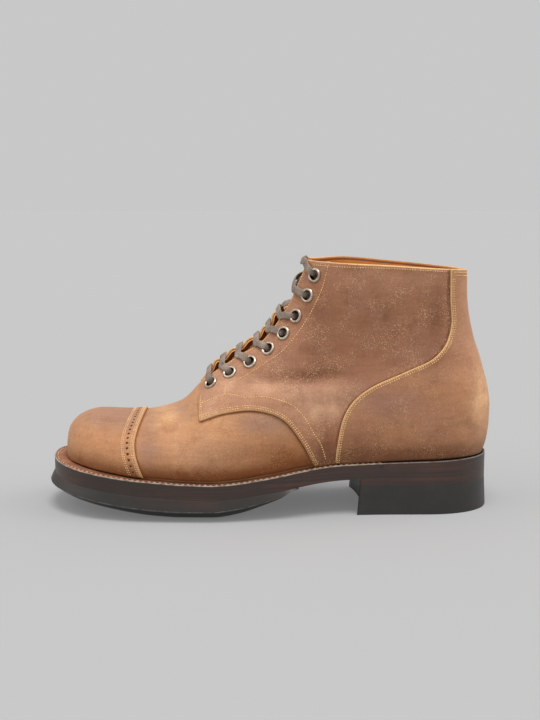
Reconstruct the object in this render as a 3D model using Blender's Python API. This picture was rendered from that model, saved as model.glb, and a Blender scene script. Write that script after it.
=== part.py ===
"""Service boot for the left foot: a hollow leather upper on a stitched welt, with a thick rubber
half sole at the front and a rubber-tipped leather heel.

Sizes are in millimetres and become metres as each mesh is made. The toe points to -X, the outer
(lateral) side of the foot to -Y, and the floor is z = 0.
"""

import math
from collections import namedtuple

import bpy
import numpy as np
from mathutils import Matrix, Vector

MM = 0.001

# Driving dimensions
SOLE_TOE = -149.8          # front of the welt and midsole
SOLE_HEEL = 150.6          # back of the heel
TOE_ROUND = 66.0           # length over which the outline closes at the toe
HEEL_ROUND = 46.0          # and at the heel
ROUND_POWER = 2.2          # 2 is an ellipse, more is blunter
GAP = 0.3                  # between pieces that touch on the real boot
SKIN_GAP = 0.4             # between curved leather layers

WELT_THICK = 3.5
WELT_UNDER = 3.0           # how far the welt reaches in under the upper's edge
WELT_END = 76.0            # the welt stops here, and the heel rand carries on
MIDSOLE_THICK = 6.5
INSOLE_CLEAR = 1.2         # round the insole, inside the welt and the upper
INSOLE_RISE = 2.0          # insole's top above the welt
HALF_SOLE_END = 20.0       # the half sole is skived out here
TOE_FLARE = 3.0            # how far the half sole's side stands out at the toe
SIDE_FLARE = 1.5           # and along the sides
TREAD_RISE = 5.0           # the tread curves up to its sides by this much
TREAD_SHOULDER = 5.0       # over these distances from the side
TREAD_FLAT = 14.0
FLAT_FRONT = -58.0         # the forefoot stands on the floor between these
FLAT_REAR = -36.0
HEEL_BREAST = 60.2
BREAST_HOLLOW = 5.0
BREAST_RAKE = 1.6          # the breast's foot stands this far ahead of its top
LIFT_THICK = 19.8

UPPER_TOE = -140.2         # front of the upper's feather edge
HEEL_POINT = 145.4         # back of it
UPPER_WALL = 2.2
BELLY = 3.0                # the upper swells this much over its feather edge
BELLY_RISE = 14.0
BACK_ROUND = 40.0
SHAFT_START = 45.0         # the foot's width turns into the shaft's between these heights
SHAFT_FULL = 100.0
CAP_THICK = 1.4
QUARTER_THICK = 1.6
COUNTER_THICK = 2.8
TAB_GAP = 6.5              # from the middle of the throat to each quarter's tab
TONGUE_THICK = 2.0
TONGUE_COLUMNS = 2         # mesh columns to each side of the ridge

EYELET_FLANGE = 4.5        # radii
EYELET_BARREL = 3.3
EYELET_BORE = 2.8
EYELET_DOME = 1.0          # height of the flange
EYELET_SIDES = 6
HOLE_SIDES = 6
HOLE_RADIUS = 4.1          # to the corners of the hole, which the flange covers
HOLE_REACH = 8.0           # a hole's cutter reaches this far to each side of the leather
EYELET_SEAT = 0.5          # under the flange, where the leather curves away
LACE_HALF_WIDTH = 2.3
LACE_HALF_THICK = 1.0
LACE_STEPS = 5
LACE_CLEAR = 0.8           # over the eyelet that a strand leaves
LACE_LEVEL = 0.42          # a strand keeps that height for this share of its way,
LACE_DIP = -1.1            # then comes down to rest on the tongue, below the last's surface,
LACE_TUCK = 0.25           # and stops at this share of the way to the other facing's eyelet
BAR_MIDDLE = 2.2           # height of a bar over the last, half way across the throat
BAR_DROP = 6               # how suddenly it comes down to that

SHARP_ANGLE = 35.0         # in degrees, where smooth shading stops
LOOPS_PER_ROW = 2          # mesh density of the upper
HALF_COLUMNS = 8
STATIONS = 28              # and of the sole
STRIP_STATIONS = 18
SEAM_STEPS = 3             # points between the rows of a seam
HEEL_STEPS = 12
BREAST_STEPS = 6
RIDGE_STEP = 0.05          # rows to each side when the ridge's direction is taken
SEARCH_ROWS = 200          # grid on which a place in side view is first looked for
SEARCH_COLUMNS = 120
SEARCH_ROUNDS = 4

LATERAL, MEDIAL = -1, 1
OUTSIDE = 400.0            # far beyond the boot, for cutters

# Plan of the welt's edge: how far it stands to each side, the line of the toe ridge between
# them, and the ledge left outside the upper.
Plan = namedtuple("Plan", "x lateral medial centre ledge")
PLAN = (
    Plan(-150.0, 51.5, 53.5, 7.0, 9.6),
    Plan(-110.0, 52.0, 54.0, 6.0, 8.2),
    Plan(-75.0, 54.5, 55.5, 4.5, 6.8),
    Plan(-40.0, 55.5, 51.0, 3.0, 6.5),
    Plan(-10.0, 52.0, 42.5, 1.8, 6.5),
    Plan(20.0, 46.0, 36.5, 1.0, 6.2),
    Plan(50.0, 38.0, 35.0, 1.0, 5.6),
    Plan(80.0, 35.8, 37.0, 1.0, 5.8),
    Plan(110.0, 35.5, 37.5, 1.0, 6.2),
    Plan(153.0, 35.5, 37.5, 1.0, 5.2),
)

# Side view of the sole: top of the welt, and the tread under the middle of the half sole.
Profile = namedtuple("Profile", "x feather tread")
PROFILE = (
    Profile(-153.0, 34.6, 10.6),
    Profile(-142.0, 33.2, 9.4),
    Profile(-126.0, 31.4, 7.2),
    Profile(-108.0, 29.4, 4.6),
    Profile(-90.0, 27.7, 2.4),
    Profile(-72.0, 26.3, 0.7),
    Profile(FLAT_FRONT, 25.3, 0.0),
    Profile(FLAT_REAR, 24.7, 0.0),
    Profile(-20.0, 25.6, 2.2),
    Profile(-6.0, 27.4, 6.4),
    Profile(8.0, 29.4, 12.0),
    Profile(HALF_SOLE_END, 31.5, 20.0),
    Profile(34.0, 33.3, 22.0),
    Profile(50.0, 34.3, 23.0),
    Profile(60.0, 34.6, 23.5),
    Profile(153.0, 37.4, 26.0),
)

# The upper as a fan of loops in side view. Each row is one loop: it starts on the ridge of the
# last and ends on the feather edge, or past the heel point up the back (there `end` counts on
# upwards). `crown` is how deep below the ridge the full width is reached, `power` how bluntly.
Fan = namedtuple("Fan", "row ridge_x ridge_z end crown power")
FAN = (
    Fan(0, UPPER_TOE, 43.0, UPPER_TOE, 9.0, 2.4),
    Fan(1, -138.3, 50.8, -138.8, 15.5, 2.4),
    Fan(2, -131.5, 58.8, -132.5, 22.5, 2.3),
    Fan(3, -117.5, 63.0, -118.5, 28.0, 2.2),
    Fan(4, -98.0, 62.3, -99.0, 30.0, 2.1),
    Fan(5, -79.0, 64.6, -79.0, 32.0, 2.1),
    Fan(6, -62.0, 70.2, -57.0, 36.0, 2.0),
    Fan(7, -49.5, 81.6, -32.0, 41.0, 2.0),
    Fan(8, -35.5, 97.0, -2.0, 44.0, 1.9),
    Fan(9, -19.0, 108.2, 38.0, 45.0, 1.9),
    Fan(10, -7.5, 115.6, 76.0, 45.0, 1.9),
    Fan(11, -1.0, 122.0, 107.0, 44.0, 2.0),
    Fan(12, 3.8, 128.6, 129.0, 43.0, 2.0),
    Fan(13, 7.3, 133.8, HEEL_POINT, 42.0, 2.0),
    Fan(14, 10.4, 139.0, 165.0, 41.0, 2.1),
    Fan(15, 13.6, 145.3, 191.0, 40.0, 2.1),
    Fan(16, 17.0, 152.6, 219.0, 39.0, 2.1),
    Fan(17, 20.4, 160.6, 245.0, 38.0, 2.1),
    Fan(18, 23.6, 169.5, 270.0, 38.0, 2.1),
)
VAMP_ROW = 6               # the cap lies ahead of this row, the quarters and tongue behind it
COUNTER_ROW = 8            # the heel counter lies behind this one
HEEL_ROW = 13              # from here up the loops end on the back
LAST_ROW = len(FAN) - 1

# Back of the upper in side view, and the shaft's half width, both by height.
Back = namedtuple("Back", "z x")
BACK = (
    Back(37.5, HEEL_POINT),
    Back(47.0, 148.0),
    Back(58.0, 149.3),
    Back(69.0, 149.6),
    Back(80.0, 148.3),
    Back(95.0, 144.3),
    Back(112.0, 139.2),
    Back(130.0, 134.3),
    Back(146.0, 132.3),
    Back(164.0, 131.8),
)
Shaft = namedtuple("Shaft", "z half")
SHAFT = (
    Shaft(40.0, 36.5),
    Shaft(60.0, 36.0),
    Shaft(80.0, 34.5),
    Shaft(105.0, 31.8),
    Shaft(130.0, 31.0),
    Shaft(150.0, 31.6),
    Shaft(170.0, 32.6),
)

# Seams in side view, each followed as one smooth curve.
Seam = namedtuple("Seam", "x z")
CAP_SEAM = (
    Seam(-83.6, 70.0),
    Seam(-86.4, 63.2),
    Seam(-89.1, 52.3),
    Seam(-88.4, 44.0),
    Seam(-83.6, 30.0),
    Seam(-80.0, 21.0),
)
THROAT_EDGE = (
    Seam(-48.3, 80.6),
    Seam(-38.5, 90.3),
    Seam(-20.9, 102.5),
    Seam(-2.3, 114.8),
    Seam(13.0, 136.2),
    Seam(20.1, 151.1),
    Seam(25.2, 163.4),
    Seam(28.7, 175.0),
)
TAB_FRONT = (
    Seam(-48.3, 80.6),
    Seam(-47.8, 74.2),
    Seam(-45.4, 63.4),
)
QUARTER_SEAM = (
    Seam(-45.4, 63.4),
    Seam(-27.4, 69.4),
    Seam(-8.0, 71.3),
    Seam(9.3, 65.8),
    Seam(21.5, 51.0),
    Seam(29.6, 35.2),
    Seam(33.0, 24.0),
)
COUNTER_SEAM = (
    Seam(43.8, 24.0),
    Seam(44.6, 44.0),
    Seam(50.4, 68.4),
    Seam(64.3, 84.0),
    Seam(90.0, 95.9),
    Seam(110.0, 106.0),
    Seam(119.8, 122.5),
    Seam(119.0, 145.0),
    Seam(118.4, 175.0),
)

# Section of the flat lace, in half widths and half thicknesses.
Corner = namedtuple("Corner", "across out")
LACE_SECTION = (
    Corner(-1.0, 0.0),
    Corner(-0.6, -1.0),
    Corner(0.6, -1.0),
    Corner(1.0, 0.0),
    Corner(0.6, 1.0),
    Corner(-0.6, 1.0),
)

# Lace bars straight across, by eyelet pair; some climb by rows of the fan in the middle.
Bar = namedtuple("Bar", "number climb")
BARS = (Bar(1, 0.35), Bar(2, 0.0), Bar(3, 0.0), Bar(4, 0.0), Bar(5, 0.0), Bar(6, 0.0), Bar(8, 0.75))
CROSSED = 7                # from this pair to the next the lace is crossed

# Eyelet centres in side view, from the toe end up; both sides share them.
EYELETS = (
    Seam(-38.2, 85.4),
    Seam(-25.6, 92.7),
    Seam(-12.0, 100.1),
    Seam(0.5, 109.3),
    Seam(10.8, 120.1),
    Seam(19.1, 132.2),
    Seam(26.6, 145.9),
    Seam(31.5, 159.3),
)

# Finishes: colour, roughness and metallic value of each kind of piece.
Finish = namedtuple("Finish", "colour roughness metallic")
FINISHES = {
    "vamp_leather": Finish((0.36, 0.17, 0.085), 0.75, 0.0),
    "quarter_leather": Finish((0.25, 0.125, 0.075), 0.8, 0.0),
    "counter_leather": Finish((0.30, 0.15, 0.08), 0.78, 0.0),
    "tongue_leather": Finish((0.42, 0.19, 0.07), 0.7, 0.0),
    "insole_leather": Finish((0.50, 0.24, 0.09), 0.6, 0.0),
    "welt_leather": Finish((0.16, 0.09, 0.06), 0.6, 0.0),
    "sole_leather": Finish((0.06, 0.035, 0.028), 0.45, 0.0),
    "sole_rubber": Finish((0.028, 0.03, 0.03), 0.6, 0.0),
    "eyelet_metal": Finish((0.42, 0.37, 0.32), 0.35, 1.0),
    "lace_cotton": Finish((0.10, 0.07, 0.05), 0.85, 0.0),
}


def clear_scene():
    for item in list(bpy.data.objects):
        bpy.data.objects.remove(item, do_unlink=True)


# Curves and sizes

def along(rows, key, column, at):
    """Smooth curve through one column of a table, which never overshoots its rows."""
    keys = np.array([getattr(row, key) for row in rows], float)
    values = np.array([getattr(row, column) for row in rows], float)
    step = np.diff(keys)
    slope = np.diff(values) / step
    tangent = np.concatenate(([slope[0]], np.zeros(len(rows) - 2), [slope[-1]]))
    for i in range(1, len(rows) - 1):
        before, after = slope[i - 1], slope[i]
        if before * after > 0:
            near = 2 * step[i] + step[i - 1]
            far = step[i] + 2 * step[i - 1]
            tangent[i] = (near + far) / (near / before + far / after)
    at = np.clip(np.asarray(at, float), keys[0], keys[-1])
    i = np.clip(np.searchsorted(keys, at) - 1, 0, len(rows) - 2)
    t = (at - keys[i]) / step[i]
    rise = (values[i + 1] - values[i]) * t * t * (3 - 2 * t)
    lean = step[i] * t * (1 - t) * (tangent[i] * (1 - t) - tangent[i + 1] * t)
    return values[i] + rise + lean


def closing(share, power):
    """0 at the end of a form and 1 where it has its full width, on a round curve."""
    share = np.clip(share, 0.0, 1.0)
    return (1 - (1 - share) ** power) ** (1 / power)


def blend(a, b, share):
    return a + (b - a) * share


def ease(share):
    share = np.clip(share, 0.0, 1.0)
    return share * share * (3 - 2 * share)


def spread(start, end, count, round_start=True, round_end=True):
    """Places between two ends, closer together at an end where the outline closes."""
    t = np.linspace(0.0, 1.0, count + 1)
    if round_start and round_end:
        t = (1 - np.cos(math.pi * t)) / 2
    elif round_start:
        t = 1 - np.cos(math.pi * t / 2)
    elif round_end:
        t = np.sin(math.pi * t / 2)
    places = start + (end - start) * t
    places[-1] = end
    return places


def seam_curve(seam):
    """Points along a seam, on a curve through its rows that keeps its direction at each."""
    rows = np.array(seam, float)
    before = np.vstack((2 * rows[0] - rows[1], rows[:-1]))
    after = np.vstack((rows[1:], 2 * rows[-1] - rows[-2]))
    heading = (after - before) / 2
    points = []
    for i in range(len(rows) - 1):
        for t in np.arange(SEAM_STEPS) / SEAM_STEPS:
            chord = rows[i] + (rows[i + 1] - rows[i]) * t * t * (3 - 2 * t)
            points.append(chord + t * (1 - t) * (heading[i] * (1 - t) - heading[i + 1] * t))
    points.append(rows[-1])
    return [tuple(point) for point in points]


def centre(x):
    return along(PLAN, "x", "centre", x)


def feather(x):
    return along(PROFILE, "x", "feather", x)


def ledge(x):
    return along(PLAN, "x", "ledge", x)


def sole_edges(x, inset, toe, heel):
    """Both sides of the sole's outline at x, drawn in by `inset`, for an outline from toe to heel."""
    shut = closing((x - toe) / TOE_ROUND, ROUND_POWER) * closing((heel - x) / HEEL_ROUND, ROUND_POWER)
    middle = centre(x)
    lateral = middle - (middle + along(PLAN, "x", "lateral", x) - inset) * shut
    medial = middle + (along(PLAN, "x", "medial", x) - inset - middle) * shut
    return lateral, medial


# Making objects

def finish_material(name):
    finish = FINISHES[name]
    material = bpy.data.materials.get(name)
    if material is None:
        material = bpy.data.materials.new(name)
        material.use_nodes = True
        shader = material.node_tree.nodes["Principled BSDF"]
        shader.inputs["Base Color"].default_value = (*finish.colour, 1.0)
        shader.inputs["Roughness"].default_value = finish.roughness
        shader.inputs["Metallic"].default_value = finish.metallic
    return material


def add_object(name, points, polygons, finish=None):
    """Mesh object from points in millimetres; without a finish it is a hidden cutter."""
    mesh = bpy.data.meshes.new(name)
    mesh.from_pydata([Vector(point) * MM for point in points], [], polygons)
    item = bpy.data.objects.new(name, mesh)
    bpy.context.scene.collection.objects.link(item)
    if finish:
        mesh.materials.append(finish_material(finish))
        mesh.shade_smooth()
        mesh.set_sharp_from_angle(angle=math.radians(SHARP_ANGLE))
    else:
        item.hide_render = True
        item.display_type = "WIRE"
    return item


def combine(item, other, operation):
    modifier = item.modifiers.new(other.name, "BOOLEAN")
    modifier.operation = operation
    modifier.solver = "EXACT"
    modifier.object = other


def loft(name, rings, finish=None, closed_ends=True):
    """Closed solid through rings of equal length; points of a ring that meet are welded."""
    welded = {}
    points = []
    numbers = []
    for ring in rings:
        row = []
        for point in ring:
            key = tuple(np.round(np.asarray(point, float), 5))
            if key not in welded:
                welded[key] = len(points)
                points.append(key)
            row.append(welded[key])
        numbers.append(row)
    count = len(rings[0])
    polygons = []
    for here, there in zip(numbers, numbers[1:]):
        for j in range(count):
            k = (j + 1) % count
            polygons.append((here[j], here[k], there[k], there[j]))
    if closed_ends:
        polygons.append(tuple(reversed(numbers[0])))
        polygons.append(tuple(numbers[-1]))
    tidy = []
    for polygon in polygons:
        kept = [n for i, n in enumerate(polygon) if n != polygon[i - 1]]
        if len(set(kept)) == len(kept) and len(kept) > 2:
            tidy.append(kept)
    return add_object(name, points, tidy, finish)


# The sole, from the floor up

def sole_layer(name, finish, inset, toe, heel, top, bottom):
    """Flat-sided layer along the whole foot, between two heights that follow the profile."""
    rings = []
    for x in spread(toe, heel, STATIONS):
        lateral, medial = sole_edges(x, inset(x), toe, heel)
        high, low = top(x), bottom(x)
        rings.append([(x, lateral, high), (x, lateral, low), (x, medial, low), (x, medial, high)])
    return loft(name, rings, finish, closed_ends=False)


def midsole_top(x):
    return feather(x) - WELT_THICK - GAP


def midsole_bottom(x):
    return midsole_top(x) - MIDSOLE_THICK


def make_midsole():
    sole_layer("midsole", "sole_leather", lambda x: 0.0, SOLE_TOE, SOLE_HEEL, midsole_top, midsole_bottom)


def make_insole():
    def inset(x):
        return ledge(x) + WELT_UNDER + INSOLE_CLEAR

    toe = SOLE_TOE + inset(SOLE_TOE)
    heel = SOLE_HEEL - inset(SOLE_HEEL)
    sole_layer("insole", "insole_leather", inset, toe, heel,
               lambda x: feather(x) + INSOLE_RISE, lambda x: midsole_top(x) + GAP)


def make_half_sole():
    """Rubber forefoot: its sides flare a little and its tread is rounded up to them."""
    Level = namedtuple("Level", "flare inset share")
    levels = (
        Level(0.2, 0.0, 1.0),
        Level(1.0, 0.0, 0.0),
        Level(0.6, TREAD_SHOULDER, -0.6),
        Level(0.0, TREAD_FLAT, -1.0),
    )
    ways = spread(0.0, 1.0, STRIP_STATIONS, round_end=False)
    tread_toe = SOLE_TOE + TREAD_FLAT
    floor_ways = [(flat - tread_toe) / (HALF_SOLE_END - tread_toe) for flat in (FLAT_FRONT, FLAT_REAR)]
    rings = []
    for way in sorted([*ways, *floor_ways]):
        lateral_side, medial_side = [], []
        for level in levels:
            toe = SOLE_TOE - TOE_FLARE * level.flare + level.inset
            x = blend(toe, HALF_SOLE_END, way)
            top = midsole_bottom(x) - GAP
            tread = along(PROFILE, "x", "tread", x)
            side_z = min(tread + TREAD_RISE, blend(tread, top, 0.5))
            z = blend(side_z, top, level.share) if level.share >= 0 else blend(side_z, tread, -level.share)
            lateral, medial = sole_edges(x, level.inset - SIDE_FLARE * level.flare, toe, OUTSIDE)
            lateral_side.append((x, lateral, z))
            medial_side.append((x, medial, z))
        rings.append(lateral_side + medial_side[::-1])
    loft("half_sole", rings, "sole_rubber")


def heel_ring(z, breast):
    """Outline of the heel at a height: both sides, the round back and the hollow breast."""
    xs = spread(breast, SOLE_HEEL, HEEL_STEPS, round_start=False)
    lateral, medial = sole_edges(xs, 0.0, SOLE_TOE, SOLE_HEEL)
    ring = list(zip(xs, lateral)) + list(zip(xs, medial))[-2::-1]
    for t in np.arange(1, BREAST_STEPS) / BREAST_STEPS:
        hollow = BREAST_HOLLOW * 4 * t * (1 - t)
        ring.append((breast + hollow, blend(medial[0], lateral[0], t)))
    height = z if callable(z) else lambda x: z
    return [(x, y, float(height(x))) for x, y in ring]


def make_heel():
    loft("heel_lift", [heel_ring(0.0, HEEL_BREAST - BREAST_RAKE), heel_ring(LIFT_THICK, HEEL_BREAST)],
         "sole_rubber")
    loft("heel_stack", [heel_ring(LIFT_THICK + GAP, HEEL_BREAST),
                        heel_ring(lambda x: midsole_bottom(x) - GAP, HEEL_BREAST)], "sole_leather")


def edge_strip(name, finish, tip, far):
    """Strip round one end of the foot, from the sole's edge in under the upper's edge."""
    inward = math.copysign(1.0, far - tip)
    sides = ([], [])
    for way in spread(0.0, 1.0, STRIP_STATIONS, round_end=False):
        section = []
        for under in (0.0, 1.0):
            start = tip + inward * under * (ledge(tip) + WELT_UNDER)
            x = blend(start, far, way)
            toe, heel = (start, SOLE_HEEL) if inward > 0 else (SOLE_TOE, start)
            section.append((x, sole_edges(x, under * (ledge(x) + WELT_UNDER), toe, heel)))
        for side in (0, 1):
            sides[side].append([(x, edges[side], feather(x)) for x, edges in section])
    path = sides[0][::-1] + sides[1][1:]
    rings = []
    for outer, inner in path if inward > 0 else path[::-1]:
        low_outer = (outer[0], outer[1], outer[2] - WELT_THICK)
        low_inner = (inner[0], inner[1], inner[2] - WELT_THICK)
        rings.append([outer, inner, low_inner, low_outer])
    return loft(name, rings, finish)


# The upper's own function

def end_point(end):
    """Foot of a loop: on the feather edge, or on the back above the heel point."""
    heel_z = float(feather(HEEL_POINT)) + GAP
    z_back = heel_z + np.maximum(end - HEEL_POINT, 0.0)
    on_foot = end <= HEEL_POINT
    x = np.where(on_foot, end, along(BACK, "z", "x", z_back))
    z = np.where(on_foot, feather(end) + GAP, z_back)
    return x, z


def core(x, z, side):
    """Half width of the last before it is rounded off at the ridge, toe and back."""
    lateral = centre(x) + along(PLAN, "x", "lateral", x)
    medial = along(PLAN, "x", "medial", x) - centre(x)
    foot = np.where(side < 0, lateral, medial) - ledge(x)
    swell = np.clip((z - feather(x)) / BELLY_RISE, 0.0, 1.0)
    foot = foot + BELLY * (1 - (1 - swell) ** 2)
    shaft = along(SHAFT, "z", "half", z)
    return blend(foot, shaft, ease((z - SHAFT_START) / (SHAFT_FULL - SHAFT_START)))


def upper_point(u, v):
    """Point on the outside of the last. u counts the rows of FAN; v is -1 at the foot of the
    lateral side, 0 on the ridge and 1 at the foot of the medial side."""
    u, v = np.broadcast_arrays(np.asarray(u, float), np.asarray(v, float))
    ridge_x = along(FAN, "row", "ridge_x", u)
    ridge_z = along(FAN, "row", "ridge_z", u)
    end = along(FAN, "row", "end", u)
    end_x, end_z = end_point(end)
    reach = np.abs(v)
    ring = ease((end - (HEEL_POINT - BACK_ROUND)) / BACK_ROUND)
    s = blend(1 - np.cos(reach * math.pi / 2), (1 - np.cos(reach * math.pi)) / 2, ring)
    x = blend(ridge_x, end_x, s)
    z = blend(ridge_z, end_z, s)
    ahead = np.minimum(u + RIDGE_STEP, LAST_ROW)
    behind = np.maximum(u - RIDGE_STEP, 0)
    run_x = along(FAN, "row", "ridge_x", ahead) - along(FAN, "row", "ridge_x", behind)
    run_z = along(FAN, "row", "ridge_z", ahead) - along(FAN, "row", "ridge_z", behind)
    across = np.abs((end_x - ridge_x) * run_z - (end_z - ridge_z) * run_x) / np.hypot(run_x, run_z)
    front = closing(s * across / along(FAN, "row", "crown", u), along(FAN, "row", "power", u))
    back = closing((along(BACK, "z", "x", z) - x) / BACK_ROUND, ROUND_POWER)
    toe = closing((x - UPPER_TOE) / TOE_ROUND, ROUND_POWER)
    y = centre(x) + np.sign(v) * core(x, z, v) * front * back * toe
    return np.stack((x, y, z), axis=-1)


def lifted(u, v, height):
    """Point at a height over the last, and the direction straight out of it there."""
    step_u, step_v = 0.02, 0.01
    run_u = upper_point(min(u + step_u, LAST_ROW), v) - upper_point(u - step_u, v)
    run_v = upper_point(u, v + step_v) - upper_point(u, v - step_v)
    out = np.cross(run_u, run_v)
    out = out / np.linalg.norm(out)
    return upper_point(u, v) + out * height, out


def locate(x, z, side):
    """u and v of the place on one side that shows at x, z in side view."""
    rows = np.linspace(VAMP_ROW, LAST_ROW, SEARCH_ROWS)
    columns = np.linspace(0.0, 1.0, SEARCH_COLUMNS)[1:-1]
    us, vs = np.meshgrid(rows, columns, indexing="ij")
    seen = upper_point(us, vs * side)
    nearest = np.argmin((seen[..., 0] - x) ** 2 + (seen[..., 2] - z) ** 2)
    u, v = us.flat[nearest], vs.flat[nearest]
    step_u, step_v = 0.01, 0.001
    for _ in range(SEARCH_ROUNDS):
        here = upper_point(u, v * side)
        miss = np.array((x - here[0], z - here[2]))
        by_u = (upper_point(u + step_u, v * side) - here) / step_u
        by_v = (upper_point(u, (v + step_v) * side) - here) / step_v
        change = np.linalg.solve(np.array(((by_u[0], by_v[0]), (by_u[2], by_v[2]))), miss)
        u, v = u + change[0], v + change[1]
    return u, v * side


class Last:
    """Mesh of the last's outside that every leather layer is offset from."""

    loops = LOOPS_PER_ROW * LAST_ROW
    columns = 2 * HALF_COLUMNS

    def __init__(self):
        us = np.linspace(0, LAST_ROW, self.loops + 1)
        vs = np.linspace(-1, 1, self.columns + 1)
        self.points = upper_point(us[:, None], vs[None, :]).reshape(-1, 3)
        self.faces = {}
        for loop in range(self.loops):
            for column in range(self.columns):
                corners = ((loop, column), (loop + 1, column), (loop + 1, column + 1), (loop, column + 1))
                self.faces[loop, column] = self.halves(*[self.number(*corner) for corner in corners])
        self.normals = self.outward()

    def number(self, loop, column):
        """The two sides share their points on the toe's front line and up the back."""
        if loop == 0 and column > HALF_COLUMNS:
            column = self.columns - column
        if loop >= HEEL_ROW * LOOPS_PER_ROW and column == self.columns:
            column = 0
        return loop * (self.columns + 1) + column

    def halves(self, a, b, c, d):
        """Two triangles on the shorter diagonal, the same in every layer, so that layers stay clear."""
        points = self.points
        if np.linalg.norm(points[a] - points[c]) < np.linalg.norm(points[b] - points[d]):
            return [a, b, c], [a, c, d]
        return [a, b, d], [b, c, d]

    def outward(self):
        normals = np.zeros_like(self.points)
        for triangles in self.faces.values():
            for a, b, c in triangles:
                start = self.points[a]
                normals[[a, b, c]] += np.cross(self.points[b] - start, self.points[c] - start)
        for loop in range(HEEL_ROW * LOOPS_PER_ROW + 1):
            for column in (0, self.columns):
                normals[self.number(loop, column), 2] = 0.0
        length = np.linalg.norm(normals, axis=1, keepdims=True)
        return normals / np.where(length == 0, 1, length)


def skin(name, last, inner, outer, finish, keep=lambda loop, column: True):
    """Closed leather layer between two offsets of the last, over the faces that are kept."""
    faces = [face for place, pair in last.faces.items() if keep(*place) for face in pair]
    used = sorted({number for face in faces for number in face})
    order = {number: i for i, number in enumerate(used)}
    count = len(used)
    points = [*(last.points + inner * last.normals)[used], *(last.points + outer * last.normals)[used]]
    polygons = [[order[n] + count for n in face] for face in faces]
    polygons += [[order[n] for n in reversed(face)] for face in faces]
    edges = {(a, b) for face in faces for a, b in zip(face, face[1:] + face[:1])}
    for a, b in sorted(edges):
        if (b, a) not in edges:
            polygons.append([order[b] + count, order[a] + count, order[a], order[b]])
    return add_object(name, points, polygons, finish)


def side_prism(name, outline, near=-OUTSIDE, far=OUTSIDE):
    """Cutter of a shape drawn in side view, through the boot from one side to the other."""
    outline = [point for i, point in enumerate(outline) if point != outline[i - 1]]
    area = sum(a[0] * b[1] - b[0] * a[1] for a, b in zip(outline, outline[1:] + outline[:1]))
    if area > 0:
        outline = outline[::-1]
    return loft(name, [[(x, near, z) for x, z in outline], [(x, far, z) for x, z in outline]])


def eyelet_places(side):
    return [locate(spot.x, spot.z, side) for spot in EYELETS]


def hole_cutter(name, side):
    """The eyelet holes of one side, as separate pins in one cutter."""
    points, polygons = [], []
    for u, v in eyelet_places(side):
        middle, out = lifted(u, v, 0.0)
        turn = Vector(out).to_track_quat("Z", "X").to_matrix()
        base = len(points)
        for height in (-HOLE_REACH, HOLE_REACH):
            for i in range(HOLE_SIDES):
                angle = 2 * math.pi * i / HOLE_SIDES
                spot = Vector((HOLE_RADIUS * math.cos(angle), HOLE_RADIUS * math.sin(angle), height))
                points.append(Vector(middle) + turn @ spot)
        polygons.append([base + i for i in reversed(range(HOLE_SIDES))])
        polygons.append([base + HOLE_SIDES + i for i in range(HOLE_SIDES)])
        for i in range(HOLE_SIDES):
            k = (i + 1) % HOLE_SIDES
            polygons.append([base + i, base + k, base + HOLE_SIDES + k, base + HOLE_SIDES + i])
    return add_object(name, points, polygons)


def make_upper(last, holes):
    upper = skin("upper", last, -UPPER_WALL, 0.0, "vamp_leather")
    throat = seam_curve(THROAT_EDGE) + [(-OUTSIDE, OUTSIDE), (-OUTSIDE, THROAT_EDGE[0].z)]
    combine(upper, side_prism("cut_throat", throat), "DIFFERENCE")
    for cutter in holes.values():
        combine(upper, cutter, "DIFFERENCE")


def make_toe_cap(last):
    cap = skin("toe_cap", last, SKIN_GAP, SKIN_GAP + CAP_THICK, "vamp_leather",
               lambda loop, column: loop < VAMP_ROW * LOOPS_PER_ROW)
    above, ahead = (CAP_SEAM[0].x, OUTSIDE), (-OUTSIDE, CAP_SEAM[-1].z)
    outline = [(-OUTSIDE, OUTSIDE), above, *seam_curve(CAP_SEAM), ahead]
    combine(cap, side_prism("form_toe_cap", outline), "INTERSECT")


def make_heel_counter(last):
    counter = skin("heel_counter", last, SKIN_GAP, SKIN_GAP + COUNTER_THICK, "counter_leather",
                   lambda loop, column: loop >= COUNTER_ROW * LOOPS_PER_ROW)
    outline = seam_curve(COUNTER_SEAM) + [(OUTSIDE, COUNTER_SEAM[-1].z), (OUTSIDE, COUNTER_SEAM[0].z)]
    combine(counter, side_prism("form_counter", outline), "INTERSECT")


def make_quarters(last, holes):
    middle = float(centre(TAB_FRONT[0].x))
    front = seam_curve(TAB_FRONT)[:-1] + seam_curve(QUARTER_SEAM)
    behind = [(x - GAP, z) for x, z in seam_curve(COUNTER_SEAM)]
    outline = front + behind + seam_curve(THROAT_EDGE)[:0:-1]
    spans = {LATERAL: ("lateral", -OUTSIDE, middle - TAB_GAP), MEDIAL: ("medial", middle + TAB_GAP, OUTSIDE)}
    for side, (word, near, far) in spans.items():
        columns = range(HALF_COLUMNS) if side == LATERAL else range(HALF_COLUMNS, 2 * HALF_COLUMNS)
        quarter = skin("quarter_" + word, last, SKIN_GAP, SKIN_GAP + QUARTER_THICK, "quarter_leather",
                       lambda loop, column: loop >= VAMP_ROW * LOOPS_PER_ROW and column in columns)
        combine(quarter, side_prism("form_quarter_" + word, outline, near, far), "INTERSECT")
        combine(quarter, holes[side], "DIFFERENCE")


def make_tongue(last):
    outer = -UPPER_WALL - SKIN_GAP
    skin("tongue", last, outer - TONGUE_THICK, outer, "tongue_leather",
         lambda loop, column: (VAMP_ROW * LOOPS_PER_ROW <= loop < last.loops - 1
                               and abs(column + 0.5 - HALF_COLUMNS) < TONGUE_COLUMNS))


# Eyelets and lace

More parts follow.
